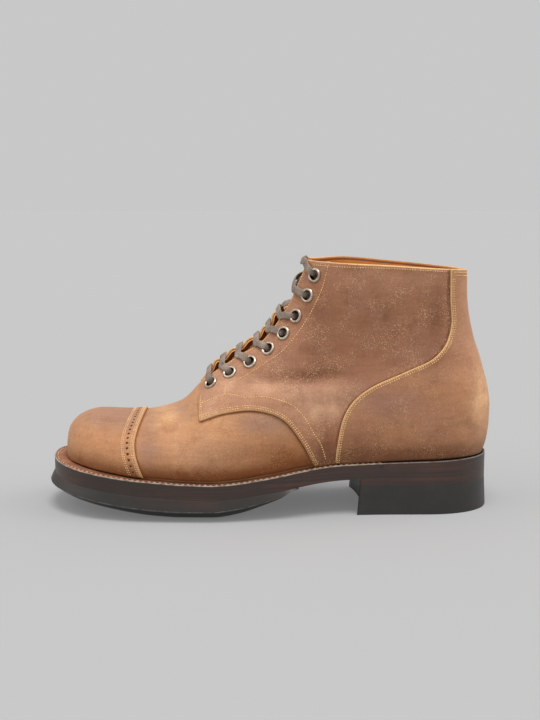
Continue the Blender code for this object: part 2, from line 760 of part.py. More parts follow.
def make_eyelets():
    seat = SKIN_GAP + QUARTER_THICK + EYELET_SEAT
    foot = -(UPPER_WALL + seat - GAP)
    profile = ((EYELET_BORE, foot), (EYELET_BORE + EYELET_DOME / 2, EYELET_DOME),
               (EYELET_FLANGE, 0.0), (EYELET_BARREL, 0.0), (EYELET_BARREL, foot))
    for side, word in ((LATERAL, "lateral"), (MEDIAL, "medial")):
        for number, (u, v) in enumerate(eyelet_places(side), 1):
            rings = []
            for i in range(EYELET_SIDES):
                angle = 2 * math.pi * i / EYELET_SIDES
                rings.append([(r * math.cos(angle), r * math.sin(angle), h) for r, h in profile])
            ring = loft(f"eyelet_{word}_{number}", [*rings, rings[0]], "eyelet_metal", closed_ends=False)
            middle, out = lifted(u, v, seat)
            turn = Vector(out).to_track_quat("Z", "X").to_matrix().to_4x4()
            ring.matrix_world = Matrix.Translation(Vector(middle) * MM) @ turn


def strand(name, places, finish=None):
    """Flat lace through places given as u, v and height over the last."""
    spots, outs = zip(*[lifted(*place) for place in places])
    rings = []
    for i, (spot, out) in enumerate(zip(spots, outs)):
        ahead = spots[min(i + 1, len(spots) - 1)] - spots[max(i - 1, 0)]
        wide = np.cross(out, ahead)
        wide = wide / np.linalg.norm(wide)
        thick = np.cross(ahead, wide)
        thick = thick / np.linalg.norm(thick)
        rings.append([spot + wide * LACE_HALF_WIDTH * corner.across + thick * LACE_HALF_THICK * corner.out
                      for corner in LACE_SECTION])
    return loft(name, rings, finish)


def crossing_places(start, stop, over):
    """From over one eyelet, across the throat, down to the tongue beside the other facing."""
    places = []
    for t in np.linspace(0.0, 1.0, LACE_STEPS):
        u = blend(start[0], stop[0], t)
        v = blend(start[1], stop[1] * LACE_TUCK, t)
        places.append((u, v, blend(over, LACE_DIP, ease((t - LACE_LEVEL) / (1 - LACE_LEVEL)))))
    return places


def bar_places(start, stop, over, climb):
    """Straight across from one eyelet to the other, arched up along the throat in the middle."""
    places = []
    for t in np.linspace(0.0, 1.0, LACE_STEPS):
        arch = 4 * t * (1 - t)
        u = blend(start[0], stop[0], t) + climb * arch
        places.append((u, blend(start[1], stop[1], t), blend(over, BAR_MIDDLE, arch ** BAR_DROP)))
    return places


def make_laces():
    """Bars straight across the throat, and one crossing below the highest bar."""
    lateral, medial = eyelet_places(LATERAL), eyelet_places(MEDIAL)
    over = SKIN_GAP + QUARTER_THICK + EYELET_SEAT + EYELET_DOME + LACE_CLEAR + LACE_HALF_THICK
    here, there = CROSSED - 1, CROSSED
    cross = strand(f"lace_cross_{CROSSED}", crossing_places(lateral[here], medial[there], over), "lace_cotton")
    combine(cross, strand("form_lace", crossing_places(medial[here], lateral[there], over)), "UNION")
    for bar in BARS:
        places = bar_places(lateral[bar.number - 1], medial[bar.number - 1], over, bar.climb)
        strand(f"lace_bar_{bar.number}", places, "lace_cotton")


def main():
    clear_scene()
    make_half_sole()
    make_midsole()
    make_heel()
    edge_strip("welt", "welt_leather", SOLE_TOE, WELT_END)
    edge_strip("heel_rand", "sole_leather", SOLE_HEEL, WELT_END + GAP)
    make_insole()
    last = Last()
    holes = {LATERAL: hole_cutter("holes_lateral", LATERAL), MEDIAL: hole_cutter("holes_medial", MEDIAL)}
    make_upper(last, holes)
    make_toe_cap(last)
    make_quarters(last, holes)
    make_heel_counter(last)
    make_tongue(last)
    make_eyelets()
    make_laces()


main()
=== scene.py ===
"""Looks of the service boot: leather panels, lining, tongue, sole, eyelets, lace and stitching.

Sizes are in millimetres and become metres as each mesh is made. The toe points to -X, the outer
(lateral) side of the foot to -Y, and the floor is z = 0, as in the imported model.
"""

import math
from collections import namedtuple

import bmesh
import bpy
import numpy as np
from mathutils import Matrix, Vector


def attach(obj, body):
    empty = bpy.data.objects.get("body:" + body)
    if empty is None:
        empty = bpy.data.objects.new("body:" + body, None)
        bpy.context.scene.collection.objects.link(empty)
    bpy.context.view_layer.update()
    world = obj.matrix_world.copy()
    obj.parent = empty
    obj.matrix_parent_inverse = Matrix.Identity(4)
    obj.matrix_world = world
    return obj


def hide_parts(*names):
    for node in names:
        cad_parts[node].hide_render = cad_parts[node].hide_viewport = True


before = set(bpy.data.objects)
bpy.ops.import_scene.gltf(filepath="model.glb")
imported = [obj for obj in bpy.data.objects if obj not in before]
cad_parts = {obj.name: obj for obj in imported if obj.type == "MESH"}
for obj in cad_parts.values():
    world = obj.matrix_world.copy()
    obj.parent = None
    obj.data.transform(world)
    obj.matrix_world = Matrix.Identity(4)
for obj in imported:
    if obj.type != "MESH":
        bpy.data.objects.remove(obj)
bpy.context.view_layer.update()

MM = 0.001
LATERAL, MEDIAL = -1, 1
SIDES = {LATERAL: "lateral", MEDIAL: "medial"}
TINY = 1e-6

# Sole and upper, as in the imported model
SOLE_TOE = -149.8
SOLE_HEEL = 150.6
TOE_ROUND = 66.0
HEEL_ROUND = 46.0
ROUND_POWER = 2.2
WELT_THICK = 3.5
WELT_UNDER = 3.0
WELT_END = 76.0
MIDSOLE_THICK = 6.5
INSOLE_RISE = 2.0
HALF_SOLE_END = 20.0
TOE_FLARE = 3.0
SIDE_FLARE = 1.5
TREAD_RISE = 7.0
TREAD_SHOULDER = 5.0
TREAD_FLAT = 14.0
FLAT_FRONT = -58.0
FLAT_REAR = -36.0
HEEL_BREAST = 60.8
BREAST_HOLLOW = 5.0
BREAST_RAKE = 0.6
LIFT_THICK = 19.8
UPPER_TOE = -140.2
HEEL_POINT = 145.4
BELLY = 3.0
BELLY_RISE = 14.0
BACK_ROUND = 40.0
SHAFT_START = 45.0
SHAFT_FULL = 100.0
FOOT_GAP = 0.3
LAYER_GAP = 0.03           # between the layers of the sole
SOLE_ROUND = 0.08          # of the layers' edges
OUTSIDE = 400.0

Plan = namedtuple("Plan", "x lateral medial centre ledge")
PLAN = (
    Plan(-150.0, 51.5, 53.5, 7.0, 9.6),
    Plan(-110.0, 52.0, 54.0, 6.0, 8.2),
    Plan(-75.0, 54.5, 55.5, 4.5, 6.8),
    Plan(-40.0, 55.5, 51.0, 3.0, 6.5),
    Plan(-10.0, 52.0, 42.5, 1.8, 6.5),
    Plan(20.0, 46.0, 36.5, 1.0, 6.2),
    Plan(50.0, 38.0, 35.0, 1.0, 5.6),
    Plan(80.0, 35.8, 37.0, 1.0, 5.8),
    Plan(110.0, 35.5, 37.5, 1.0, 6.2),
    Plan(153.0, 35.5, 37.5, 1.0, 5.2),
)
Profile = namedtuple("Profile", "x feather tread")
PROFILE = (
    Profile(-153.0, 34.6, 10.6),
    Profile(-142.0, 33.2, 9.4),
    Profile(-126.0, 31.4, 7.2),
    Profile(-108.0, 29.4, 4.6),
    Profile(-90.0, 27.7, 2.4),
    Profile(-72.0, 26.3, 0.7),
    Profile(FLAT_FRONT, 25.3, 0.0),
    Profile(FLAT_REAR, 24.7, 0.0),
    Profile(-20.0, 25.6, 2.2),
    Profile(-6.0, 27.4, 6.4),
    Profile(8.0, 29.4, 12.0),
    Profile(HALF_SOLE_END, 31.5, 20.0),
    Profile(34.0, 33.3, 22.0),
    Profile(50.0, 34.3, 23.0),
    Profile(60.0, 34.6, 23.5),
    Profile(153.0, 37.4, 26.0),
)
Fan = namedtuple("Fan", "row ridge_x ridge_z end crown power")
FAN = (
    Fan(0, UPPER_TOE, 43.0, UPPER_TOE, 9.0, 2.4),
    Fan(1, -138.3, 50.8, -138.8, 15.5, 2.4),
    Fan(2, -131.5, 58.8, -132.5, 22.5, 2.3),
    Fan(3, -117.5, 63.0, -118.5, 28.0, 2.2),
    Fan(4, -98.0, 62.3, -99.0, 30.0, 2.1),
    Fan(5, -79.0, 64.6, -79.0, 32.0, 2.1),
    Fan(6, -62.0, 70.2, -57.0, 36.0, 2.0),
    Fan(7, -49.5, 81.6, -32.0, 41.0, 2.0),
    Fan(8, -35.5, 97.0, -2.0, 44.0, 1.9),
    Fan(9, -19.0, 108.2, 38.0, 45.0, 1.9),
    Fan(10, -7.5, 115.6, 76.0, 45.0, 1.9),
    Fan(11, -1.0, 122.0, 107.0, 44.0, 2.0),
    Fan(12, 3.8, 128.6, 129.0, 43.0, 2.0),
    Fan(13, 7.3, 133.8, HEEL_POINT, 42.0, 2.0),
    Fan(14, 10.4, 139.0, 165.0, 41.0, 2.1),
    Fan(15, 13.6, 145.3, 191.0, 40.0, 2.1),
    Fan(16, 17.0, 152.6, 219.0, 39.0, 2.1),
    Fan(17, 20.4, 160.6, 245.0, 38.0, 2.1),
    Fan(18, 23.6, 169.5, 270.0, 38.0, 2.1),
)
HEEL_ROW = 13
LAST_ROW = len(FAN) - 1
RIDGE_STEP = 0.05
Back = namedtuple("Back", "z x")
BACK = (
    Back(37.5, HEEL_POINT),
    Back(47.0, 148.0),
    Back(58.0, 149.3),
    Back(69.0, 149.6),
    Back(80.0, 148.3),
    Back(95.0, 144.3),
    Back(112.0, 139.2),
    Back(130.0, 134.3),
    Back(146.0, 132.3),
    Back(164.0, 131.8),
)
Shaft = namedtuple("Shaft", "z half")
SHAFT = (
    Shaft(40.0, 36.5),
    Shaft(60.0, 36.0),
    Shaft(80.0, 34.5),
    Shaft(105.0, 31.8),
    Shaft(130.0, 31.0),
    Shaft(150.0, 31.6),
    Shaft(170.0, 32.6),
)

# Seams and stitch lines in side view
Seam = namedtuple("Seam", "x z")
CAP_SEAM = (
    Seam(-83.0, 70.0),
    Seam(-85.8, 63.2),
    Seam(-88.5, 52.3),
    Seam(-87.8, 44.0),
    Seam(-83.0, 30.0),
    Seam(-79.4, 21.0),
)
THROAT_EDGE = (
    Seam(-48.3, 80.6),
    Seam(-38.5, 90.3),
    Seam(-20.9, 102.5),
    Seam(-2.3, 114.8),
    Seam(13.0, 136.2),
    Seam(20.1, 151.1),
    Seam(25.2, 163.4),
    Seam(28.7, 175.0),
)
TAB_FRONT = (
    Seam(-46.0, 81.0),
    Seam(-46.9, 74.2),
    Seam(-45.4, 63.4),
)
QUARTER_SEAM = (
    Seam(-45.4, 63.4),
    Seam(-27.4, 69.4),
    Seam(-8.0, 71.3),
    Seam(9.3, 65.8),
    Seam(21.5, 51.0),
    Seam(29.6, 35.2),
    Seam(33.0, 24.0),
)
COUNTER_SEAM = (
    Seam(43.8, 24.0),
    Seam(44.6, 44.0),
    Seam(50.4, 68.4),
    Seam(64.3, 84.0),
    Seam(90.0, 95.9),
    Seam(110.0, 106.0),
    Seam(119.8, 122.5),
    Seam(119.0, 145.0),
    Seam(118.4, 175.0),
)
INNER_ROW = (
    Seam(-44.2, 73.0),
    Seam(-27.6, 79.7),
    Seam(-14.9, 78.5),
    Seam(-4.7, 79.3),
    Seam(5.1, 78.1),
    Seam(15.2, 74.7),
    Seam(23.3, 66.8),
    Seam(29.2, 56.6),
    Seam(34.0, 49.0),
    Seam(37.5, 38.5),
)
FACING_ROW = (
    Seam(40.6, 167.0),
    Seam(39.6, 164.2),
    Seam(36.1, 151.3),
    Seam(31.0, 139.7),
    Seam(27.0, 131.8),
    Seam(20.1, 121.2),
    Seam(9.6, 108.5),
    Seam(-0.1, 101.3),
    Seam(-13.7, 92.4),
    Seam(-26.5, 86.2),
)
BAR_TACK = (
    Seam(-28.3, 85.4),
    Seam(-28.6, 79.7),
)
EYELETS = (
    Seam(-38.2, 85.4),
    Seam(-25.6, 92.7),
    Seam(-12.0, 100.1),
    Seam(0.5, 109.3),
    Seam(10.8, 120.1),
    Seam(19.1, 132.2),
    Seam(26.6, 145.9),
    Seam(31.5, 159.3),
)

# Leather layers, as heights over the last
VAMP_OUT, VAMP_IN = 0.0, -1.0
CAP_OUT, CAP_IN = 1.6, 0.05
QUARTER_OUT, QUARTER_IN = 2.0, 0.05
COUNTER_OUT, COUNTER_IN = 3.3, 2.05
LINING_THICK = 1.1
LINING_FRONT, LINING_SHAFT = -1.05, -0.02
TONGUE_OUT, TONGUE_IN = -4.2, -5.8
VAMP_BEHIND = 0.4          # rows of the fan that the vamp runs on under the quarters
TAB_ROW = 7.0
TAB_HALF = 6.5             # from the middle of the throat to each tab
TONGUE_START, TONGUE_END = 6.5, 17.8
TONGUE_HALF = 0.27
EDGE_ROUND = 1.1           # a cut edge is rounded over this width
EDGE_STEPS = (0.0, 0.05, 0.2, 0.45, 0.75, 1.1, 1.8, 3.0)
EDGE_SHARE = 0.4           # of a short line, at most, goes to the close steps beside a cut edge
EDGE_START = 0.25          # how far a cut edge has come round at its very border
EDGE_POWER = 2.2
FAR_FROM_EDGE = 99.0
SEAM_REACH = 5.0           # distances from the edge of a panel on top are kept up to here
LEVEL_REACH = 0.1          # over this reach above the feather edge, outward turns level
WELD = 1e-6

# How finely lines are drawn and looked up
SEAM_STEPS = 12
FINE_ROWS = 3600
LINE_STEPS = 600
FOOT_STEPS = 500
COLLAR_STEPS = 50
TABLE_STEPS = 81
TABLE_LINES = 61
GRID_PASSES = 4
HALVINGS = 30
RIDGE_SLACK = 0.01         # a seam may start that share of a loop above the ridge
FEATHER_SLACK = 0.1        # a seam's points nearer than that to the feather edge are left out
COLLAR_SLACK = 0.2         # and nearer than that to the collar

# Soft troughs (and ridges, with a negative depth) in the leather, in side view
Crease = namedtuple("Crease", "x z angle length width depth")
CREASES = (
    Crease(-64.0, 52.0, 68.0, 24.0, 5.0, 0.55),
    Crease(-74.0, 50.0, 75.0, 22.0, 6.0, -0.35),
    Crease(-52.0, 45.0, 60.0, 20.0, 5.0, 0.35),
    Crease(18.0, 90.5, 7.0, 36.0, 4.5, 1.3),
    Crease(32.0, 81.5, 6.0, 34.0, 6.5, -1.2),
    Crease(52.0, 111.0, 8.0, 30.0, 9.0, 0.6),
    Crease(128.0, 118.0, -25.0, 16.0, 5.0, 0.7),
    Crease(126.0, 107.0, -20.0, 18.0, 5.0, -0.4),
    Crease(90.0, 138.0, 82.0, 26.0, 9.0, 0.45),
)
Lift = namedtuple("Lift", "reach lateral medial")
COLLAR_LIFT = (              # how far the collar's edge rises over the last, on each side
    Lift(0.0, 0.0, 0.0),
    Lift(0.18, 0.0, 0.2),
    Lift(0.38, 0.5, 2.3),
    Lift(0.55, 1.0, 1.6),
    Lift(0.8, 1.0, 0.7),
    Lift(1.0, 0.4, 0.4),
)
COLLAR_FROM = 16.4           # row of the fan from which the collar rises
WAVE_HEIGHT = 2.4            # of the inner facing's edge, which stands up between the lace's bars
WAVE_REACH = 0.3
WAVE_FOOT = 0.15             # share of that reach by which the wave starts before the edge
LAST_WAVE = 5                # no wave above that bar


def along(rows, key, column, at):
    """Smooth curve through one column of a table, which never overshoots its rows."""
    keys = np.array([getattr(row, key) for row in rows], float)
    values = np.array([getattr(row, column) for row in rows], float)
    step = np.diff(keys)
    slope = np.diff(values) / step
    tangent = np.concatenate(([slope[0]], np.zeros(len(rows) - 2), [slope[-1]]))
    for i in range(1, len(rows) - 1):
        before, after = slope[i - 1], slope[i]
        if before * after > 0:
            near = 2 * step[i] + step[i - 1]
            far = step[i] + 2 * step[i - 1]
            tangent[i] = (near + far) / (near / before + far / after)
    at = np.clip(np.asarray(at, float), keys[0], keys[-1])
    i = np.clip(np.searchsorted(keys, at) - 1, 0, len(rows) - 2)
    t = (at - keys[i]) / step[i]
    rise = (values[i + 1] - values[i]) * t * t * (3 - 2 * t)
    lean = step[i] * t * (1 - t) * (tangent[i] * (1 - t) - tangent[i + 1] * t)
    return values[i] + rise + lean


def closing(share, power):
    """0 at the end of a form and 1 where it has its full width, on a round curve."""
    share = np.clip(share, 0.0, 1.0)
    return (1 - (1 - share) ** power) ** (1 / power)


def blend(a, b, share):
    return a + (b - a) * share


def ease(share):
    """From 0 to 1 with a soft start and end."""
    share = np.clip(share, 0.0, 1.0)
    return share * share * (3 - 2 * share)


def unit(vectors):
    """Vectors of length 1 in the same directions."""
    length = np.linalg.norm(vectors, axis=-1, keepdims=True)
    return vectors / np.maximum(length, TINY)


def smooth_curve(rows, steps=SEAM_STEPS):
    """Points on a curve through the rows that keeps its direction at each."""
    rows = np.array(rows, float)
    before = np.vstack((2 * rows[0] - rows[1], rows[:-1]))
    after = np.vstack((rows[1:], 2 * rows[-1] - rows[-2]))
    heading = (after - before) / 2
    t = (np.arange(steps) / steps)[:, None]
    spans = []
    for i in range(len(rows) - 1):
        chord = rows[i] + (rows[i + 1] - rows[i]) * t * t * (3 - 2 * t)
        spans.append(chord + t * (1 - t) * (heading[i] * (1 - t) - heading[i + 1] * t))
    return np.vstack((*spans, rows[-1:]))


def distances(path):
    """How far along a path, or along each column of paths, its points lie."""
    gone = np.linalg.norm(np.diff(path, axis=0), axis=-1).cumsum(0)
    return np.concatenate((np.zeros_like(gone[:1]), gone))


def at_distance(table, gone, at):
    """The row of a table at a distance along the path that it goes with."""
    return np.array([np.interp(at, gone, column) for column in table.T])


def centre(x):
    return along(PLAN, "x", "centre", x)


def feather(x):
    return along(PROFILE, "x", "feather", x)


def ledge(x):
    return along(PLAN, "x", "ledge", x)


def sole_edges(x, inset, toe, heel):
    """Both sides of the sole's outline at x, drawn in by `inset`, for an outline from toe to heel."""
    shut = closing((x - toe) / TOE_ROUND, ROUND_POWER) * closing((heel - x) / HEEL_ROUND, ROUND_POWER)
    middle = centre(x)
    lateral = middle - (middle + along(PLAN, "x", "lateral", x) - inset) * shut
    medial = middle + (along(PLAN, "x", "medial", x) - inset - middle) * shut
    return lateral, medial


# The last, as a fan of half loops that are straight in side view

def end_point(end):
    """Where a loop ends in side view: along the feather edge to the heel, then up the back."""
    heel_z = float(feather(HEEL_POINT)) + FOOT_GAP
    z_back = heel_z + np.maximum(end - HEEL_POINT, 0.0)
    on_foot = end <= HEEL_POINT
    x = np.where(on_foot, end, along(BACK, "z", "x", z_back))
    z = np.where(on_foot, feather(end) + FOOT_GAP, z_back)
    return x, z


def core(x, z, side):
    """Half width of the last before it is rounded off at the ridge, toe and back."""
    lateral = centre(x) + along(PLAN, "x", "lateral", x)
    medial = along(PLAN, "x", "medial", x) - centre(x)
    foot = np.where(side < 0, lateral, medial) - ledge(x)
    swell = np.clip((z - feather(x)) / BELLY_RISE, 0.0, 1.0)
    foot = foot + BELLY * (1 - (1 - swell) ** 2)
    shaft = along(SHAFT, "z", "half", z)
    return blend(foot, shaft, ease((z - SHAFT_START) / (SHAFT_FULL - SHAFT_START)))


def loop_ends(u):
    """Both ends of a loop in side view, and how far it belongs to the rounded back."""
    ridge = np.stack((along(FAN, "row", "ridge_x", u), along(FAN, "row", "ridge_z", u)), -1)
    end = along(FAN, "row", "end", u)
    foot = np.stack(end_point(end), -1)
    return ridge, foot, ease((end - (HEEL_POINT - BACK_ROUND)) / BACK_ROUND)


def loop_share(reach, ring):
    """Share of the way down a loop, in side view, at each reach from the ridge."""
    return blend(1 - np.cos(reach * math.pi / 2), (1 - np.cos(reach * math.pi)) / 2, ring)


def loop_reach(share, ring):
    """The reach at which a loop has come that share of its way down."""
    low, high = np.zeros_like(share), np.ones_like(share)
    for _ in range(HALVINGS):
        middle = (low + high) / 2
        below = loop_share(middle, ring) < share
        low, high = np.where(below, middle, low), np.where(below, high, middle)
    return (low + high) / 2


def upper_point(u, v):
    """Point on the outside of the last. u counts the rows of FAN; v is -1 at the foot of the
    lateral side, 0 on the ridge and 1 at the foot of the medial side."""
    u, v = np.broadcast_arrays(np.asarray(u, float), np.asarray(v, float))
    ridge, foot, ring = loop_ends(u)
    s = loop_share(np.abs(v), ring)
    x = blend(ridge[..., 0], foot[..., 0], s)
    z = blend(ridge[..., 1], foot[..., 1], s)
    ahead = np.minimum(u + RIDGE_STEP, LAST_ROW)
    behind = np.maximum(u - RIDGE_STEP, 0)
    run_x = along(FAN, "row", "ridge_x", ahead) - along(FAN, "row", "ridge_x", behind)
    run_z = along(FAN, "row", "ridge_z", ahead) - along(FAN, "row", "ridge_z", behind)
    down = foot - ridge
    across = np.abs(down[..., 0] * run_z - down[..., 1] * run_x) / np.hypot(run_x, run_z)
    front = closing(s * across / along(FAN, "row", "crown", u), along(FAN, "row", "power", u))
    back = closing((along(BACK, "z", "x", z) - x) / BACK_ROUND, ROUND_POWER)
    toe = closing((x - UPPER_TOE) / TOE_ROUND, ROUND_POWER)
    y = centre(x) + np.sign(v) * core(x, z, v) * front * back * toe
    sides = [along(COLLAR_LIFT, "reach", side, np.abs(v)) for side in ("lateral", "medial")]
    lift = np.where(v < 0, *sides) * ease((u - COLLAR_FROM) / (LAST_ROW - COLLAR_FROM))
    return np.stack((x, y, z + lift), axis=-1)


def plain_outward(u, v):
    step_u, step_v = 0.03, 0.006
    run_u = upper_point(np.minimum(u + step_u, LAST_ROW), v) - upper_point(np.maximum(u - step_u, 0), v)
    run_v = upper_point(u, np.minimum(v + step_v, 1)) - upper_point(u, np.maximum(v - step_v, -1))
    return unit(np.cross(run_u, run_v))


def outward(u, v):
    """Direction straight out of the last; level at the feather edge, and shared where the sides meet."""
    u, v = np.broadcast_arrays(np.asarray(u, float), np.asarray(v, float))
    out = plain_outward(u, v)
    shared = sides_meet(u, v)
    out = np.where(shared[..., None], unit(out + plain_outward(u, -v)), out)
    level = np.clip((1 - np.abs(v)) / LEVEL_REACH, 0.0, 1.0)
    level = blend(level, 1.0, np.clip(u - HEEL_ROW, 0.0, 1.0))
    out = np.stack((out[..., 0], out[..., 1], out[..., 2] * level), -1)
    return unit(out)


def sides_meet(u, v):
    """True on the toe's front line, on the ridge and up the back."""
    back = (np.abs(v) > 1 - TINY) & (u >= HEEL_ROW)
    return (u < TINY) | (np.abs(v) < TINY) | back


def sides_apart(u, v):
    """For a panel whose outer and inner faces meet along all of its border."""
    return np.zeros(u.shape, bool)


def crease_depth(points):
    """How far the leather lies below or above the last's own surface."""
    total = np.zeros(points.shape[:-1])
    for crease in CREASES:
        turn = math.radians(crease.angle)
        dx, dz = points[..., 0] - crease.x, points[..., 2] - crease.z
        on = dx * math.cos(turn) + dz * math.sin(turn)
        off = -dx * math.sin(turn) + dz * math.cos(turn)
        total -= crease.depth * np.exp(-(on / crease.length) ** 2 - (off / crease.width) ** 2)
    return total


def over_last(u, v, height):
    """Points at a height over the last, creases and all."""
    points = upper_point(u, v)
    lift = np.asarray(height) + crease_depth(points) + facing_wave(u, v)
    return points + outward(u, v) * lift[..., None]


def on_last(u, v, height):
    """Points at a height over the last, and the direction straight out there."""
    return over_last(u, v, height), outward(u, v)


FINE_U = np.linspace(0.0, LAST_ROW, FINE_ROWS + 1)
FINE_RIDGE, FINE_FOOT, FINE_RING = loop_ends(FINE_U)


def locate(places):
    """u and reach of places given in side view."""
    us, shares = [], []
    down = FINE_FOOT - FINE_RIDGE
    for place in np.asarray(places, float):
        off = place - FINE_RIDGE
        side = down[:, 0] * off[:, 1] - down[:, 1] * off[:, 0]
        share = (off * down).sum(1) / (down * down).sum(1)
        turns = np.nonzero(side[:-1] * side[1:] <= 0)[0]
        best = min(turns, key=lambda i: abs(np.clip(share[i], 0, 1) - share[i]))
        t = side[best] / (side[best] - side[best + 1])
        us.append(blend(FINE_U[best], FINE_U[best + 1], t))
        shares.append(blend(share[best], share[best + 1], t))
    us = np.array(us)
    return us, loop_reach(np.clip(shares, 0.0, 1.0), np.interp(us, FINE_U, FINE_RING))


def reach_at_seam(seam, us, beyond):
    """Reach at which each loop crosses a seam; `beyond` where it doesn't."""
    line = smooth_curve(seam)
    ridge, foot, ring = loop_ends(us)
    shares = np.full(len(us), np.nan)
    for n in range(len(us)):
        down = foot[n] - ridge[n]
        off = line - ridge[n]
        side = down[0] * off[:, 1] - down[1] * off[:, 0]
        for i in np.nonzero(side[:-1] * side[1:] <= 0)[0]:
            t = side[i] / (side[i] - side[i + 1]) if side[i] != side[i + 1] else 0.0
            share = blend(off[i], off[i + 1], t) @ down / (down @ down)
            if -RIDGE_SLACK <= share <= 1.0:
                shares[n] = max(share, 0.0)
    reach = loop_reach(np.nan_to_num(shares), ring)
    return np.where(np.isnan(shares), beyond, reach)


def row_at_seam(seam, reaches, first, last):
    """Row of the fan at which each line of equal reach meets a seam that climbs steadily."""
    line = smooth_curve(seam)[::-1]
    us = np.linspace(first, last, LINE_STEPS)
    rows = []
    for reach in reaches:
        points = upper_point(us, np.full_like(us, reach))
        past = points[:, 0] - np.interp(points[:, 2], line[:, 1], line[:, 0])
        i = np.nonzero((past[:-1] < 0) & (past[1:] >= 0))[0][0]
        rows.append(blend(us[i], us[i + 1], past[i] / (past[i] - past[i + 1])))
    return np.array(rows)


# Making meshes

def deselect():
    bpy.ops.object.select_all(action="DESELECT")


def pick(piece):
    """Selects one piece alone and makes it the active one."""
    deselect()
    bpy.context.view_layer.objects.active = piece
    piece.select_set(True)


def in_edit_mode(piece, *steps):
    """Takes the steps in edit mode, with all of the piece selected."""
    pick(piece)
    bpy.ops.object.mode_set(mode="EDIT")
    bpy.ops.mesh.select_all(action="SELECT")
    for step in steps:
        step()
    bpy.ops.object.mode_set(mode="OBJECT")


def link(item):
    bpy.context.scene.collection.objects.link(item)


def corners(piece):
    """Places of a mesh's corners."""
    flat = np.zeros(len(piece.data.vertices) * 3)
    piece.data.vertices.foreach_get("co", flat)
    return flat.reshape(-1, 3)


def add_mark(piece, name, values):
    """Keeps one value per corner of a mesh, for its material to read."""
    attribute = piece.data.attributes.new(name, "FLOAT", "POINT")
    attribute.data.foreach_set("value", values)


def add_grid(name, points, marks=None):
    """Grid whose corners are put at points in rows and columns, with a value per point for each mark."""
    rows, columns = points.shape[:2]
    deselect()
    bpy.ops.mesh.primitive_grid_add(x_subdivisions=columns - 1, y_subdivisions=rows - 1, size=2)
    piece = bpy.context.object
    piece.name = piece.data.name = name
    spots = corners(piece)
    column = np.rint((spots[:, 0] + 1) / 2 * (columns - 1)).astype(int)
    row = np.rint((spots[:, 1] + 1) / 2 * (rows - 1)).astype(int)
    piece.data.vertices.foreach_set("co", (points[row, column] * MM).ravel())
    for mark, values in (marks or {}).items():
        add_mark(piece, mark, values[row, column])
    while piece.data.uv_layers:
        piece.data.uv_layers.remove(piece.data.uv_layers[0])
    piece.data.update()
    return piece


def merge_points():
    bpy.ops.mesh.remove_doubles(threshold=WELD)


def flip_faces():
    bpy.ops.mesh.flip_normals()


def volume(piece):
    work = bmesh.new()
    work.from_mesh(piece.data)
    size = work.calc_volume(signed=True)
    work.free()
    return size


def close_up(piece):
    """Welds the points that meet and turns the faces outwards."""
    in_edit_mode(piece, merge_points)
    if volume(piece) < 0:
        in_edit_mode(piece, flip_faces)
    piece.data.shade_smooth()
    return piece


def join(pieces, name):
    deselect()
    for piece in pieces:
        piece.select_set(True)
    bpy.context.view_layer.objects.active = pieces[0]
    bpy.ops.object.join()
    pieces[0].name = pieces[0].data.name = name
    return pieces[0]


def round_again(points):
    """Rows that end where they start."""
    return np.concatenate((points, points[:, :1]), axis=1)


def drawn_in(rows):
    """Rows whose points all lie in the middle of the row."""
    return np.repeat(rows.mean(1, keepdims=True), rows.shape[1], 1)


def wrapped(name, points, marks=None):
    """Closed form: the columns of each row go round, and the first and last rows close to a point."""
    ring = round_again(points)
    ring = np.concatenate((drawn_in(ring[:1]), ring, drawn_in(ring[-1:])))
    if marks:
        marks = {key: np.pad(value, ((1, 1), (0, 1)), "edge") for key, value in marks.items()}
    return close_up(add_grid(name, ring, marks))


# Leather panels

def steps_along(lengths, raw_start, raw_end, count):
    """Distances along lines of those lengths, close together at each cut edge."""
    start = np.array(EDGE_STEPS if raw_start else (0.0,))
    end = np.array(EDGE_STEPS if raw_end else (0.0,))
    longest = max(start[-1], end[-1], TINY)
    scale = np.minimum(1.0, EDGE_SHARE * lengths / longest)
    near = start[:, None] * scale
    far = lengths - end[::-1, None] * scale
    between = np.linspace(0.0, 1.0, count + 2)[1:-1, None]
    middle = blend(near[-1:], far[:1], between)
    return np.vstack((near, middle, far))


def line_table(mapping, fixed, raw_start, raw_end, count, by_first):
    """Where the rows (or columns) of a panel cut lines across it, as shares of each line."""
    shares = np.linspace(0.0, 1.0, TABLE_STEPS)
    if by_first:
        u, v = mapping(shares[:, None], fixed[None, :])
    else:
        u, v = mapping(fixed[None, :], shares[:, None])
    gone = distances(upper_point(u, v))
    wanted = steps_along(np.maximum(gone[-1], TINY), raw_start, raw_end, count)
    table = np.stack([np.interp(wanted[:, i], gone[:, i], shares) for i in range(len(fixed))], 1)
    return table, wanted, gone[-1] - wanted


def look_up(table, fixed, at):
    """Values of a table's rows at places between its columns."""
    place = np.clip(at, 0.0, 1.0) * (len(fixed) - 1)
    i = np.clip(place.astype(int), 0, len(fixed) - 2)
    rows = np.arange(len(table))[:, None]
    return blend(table[rows, i], table[rows, i + 1], place - i)


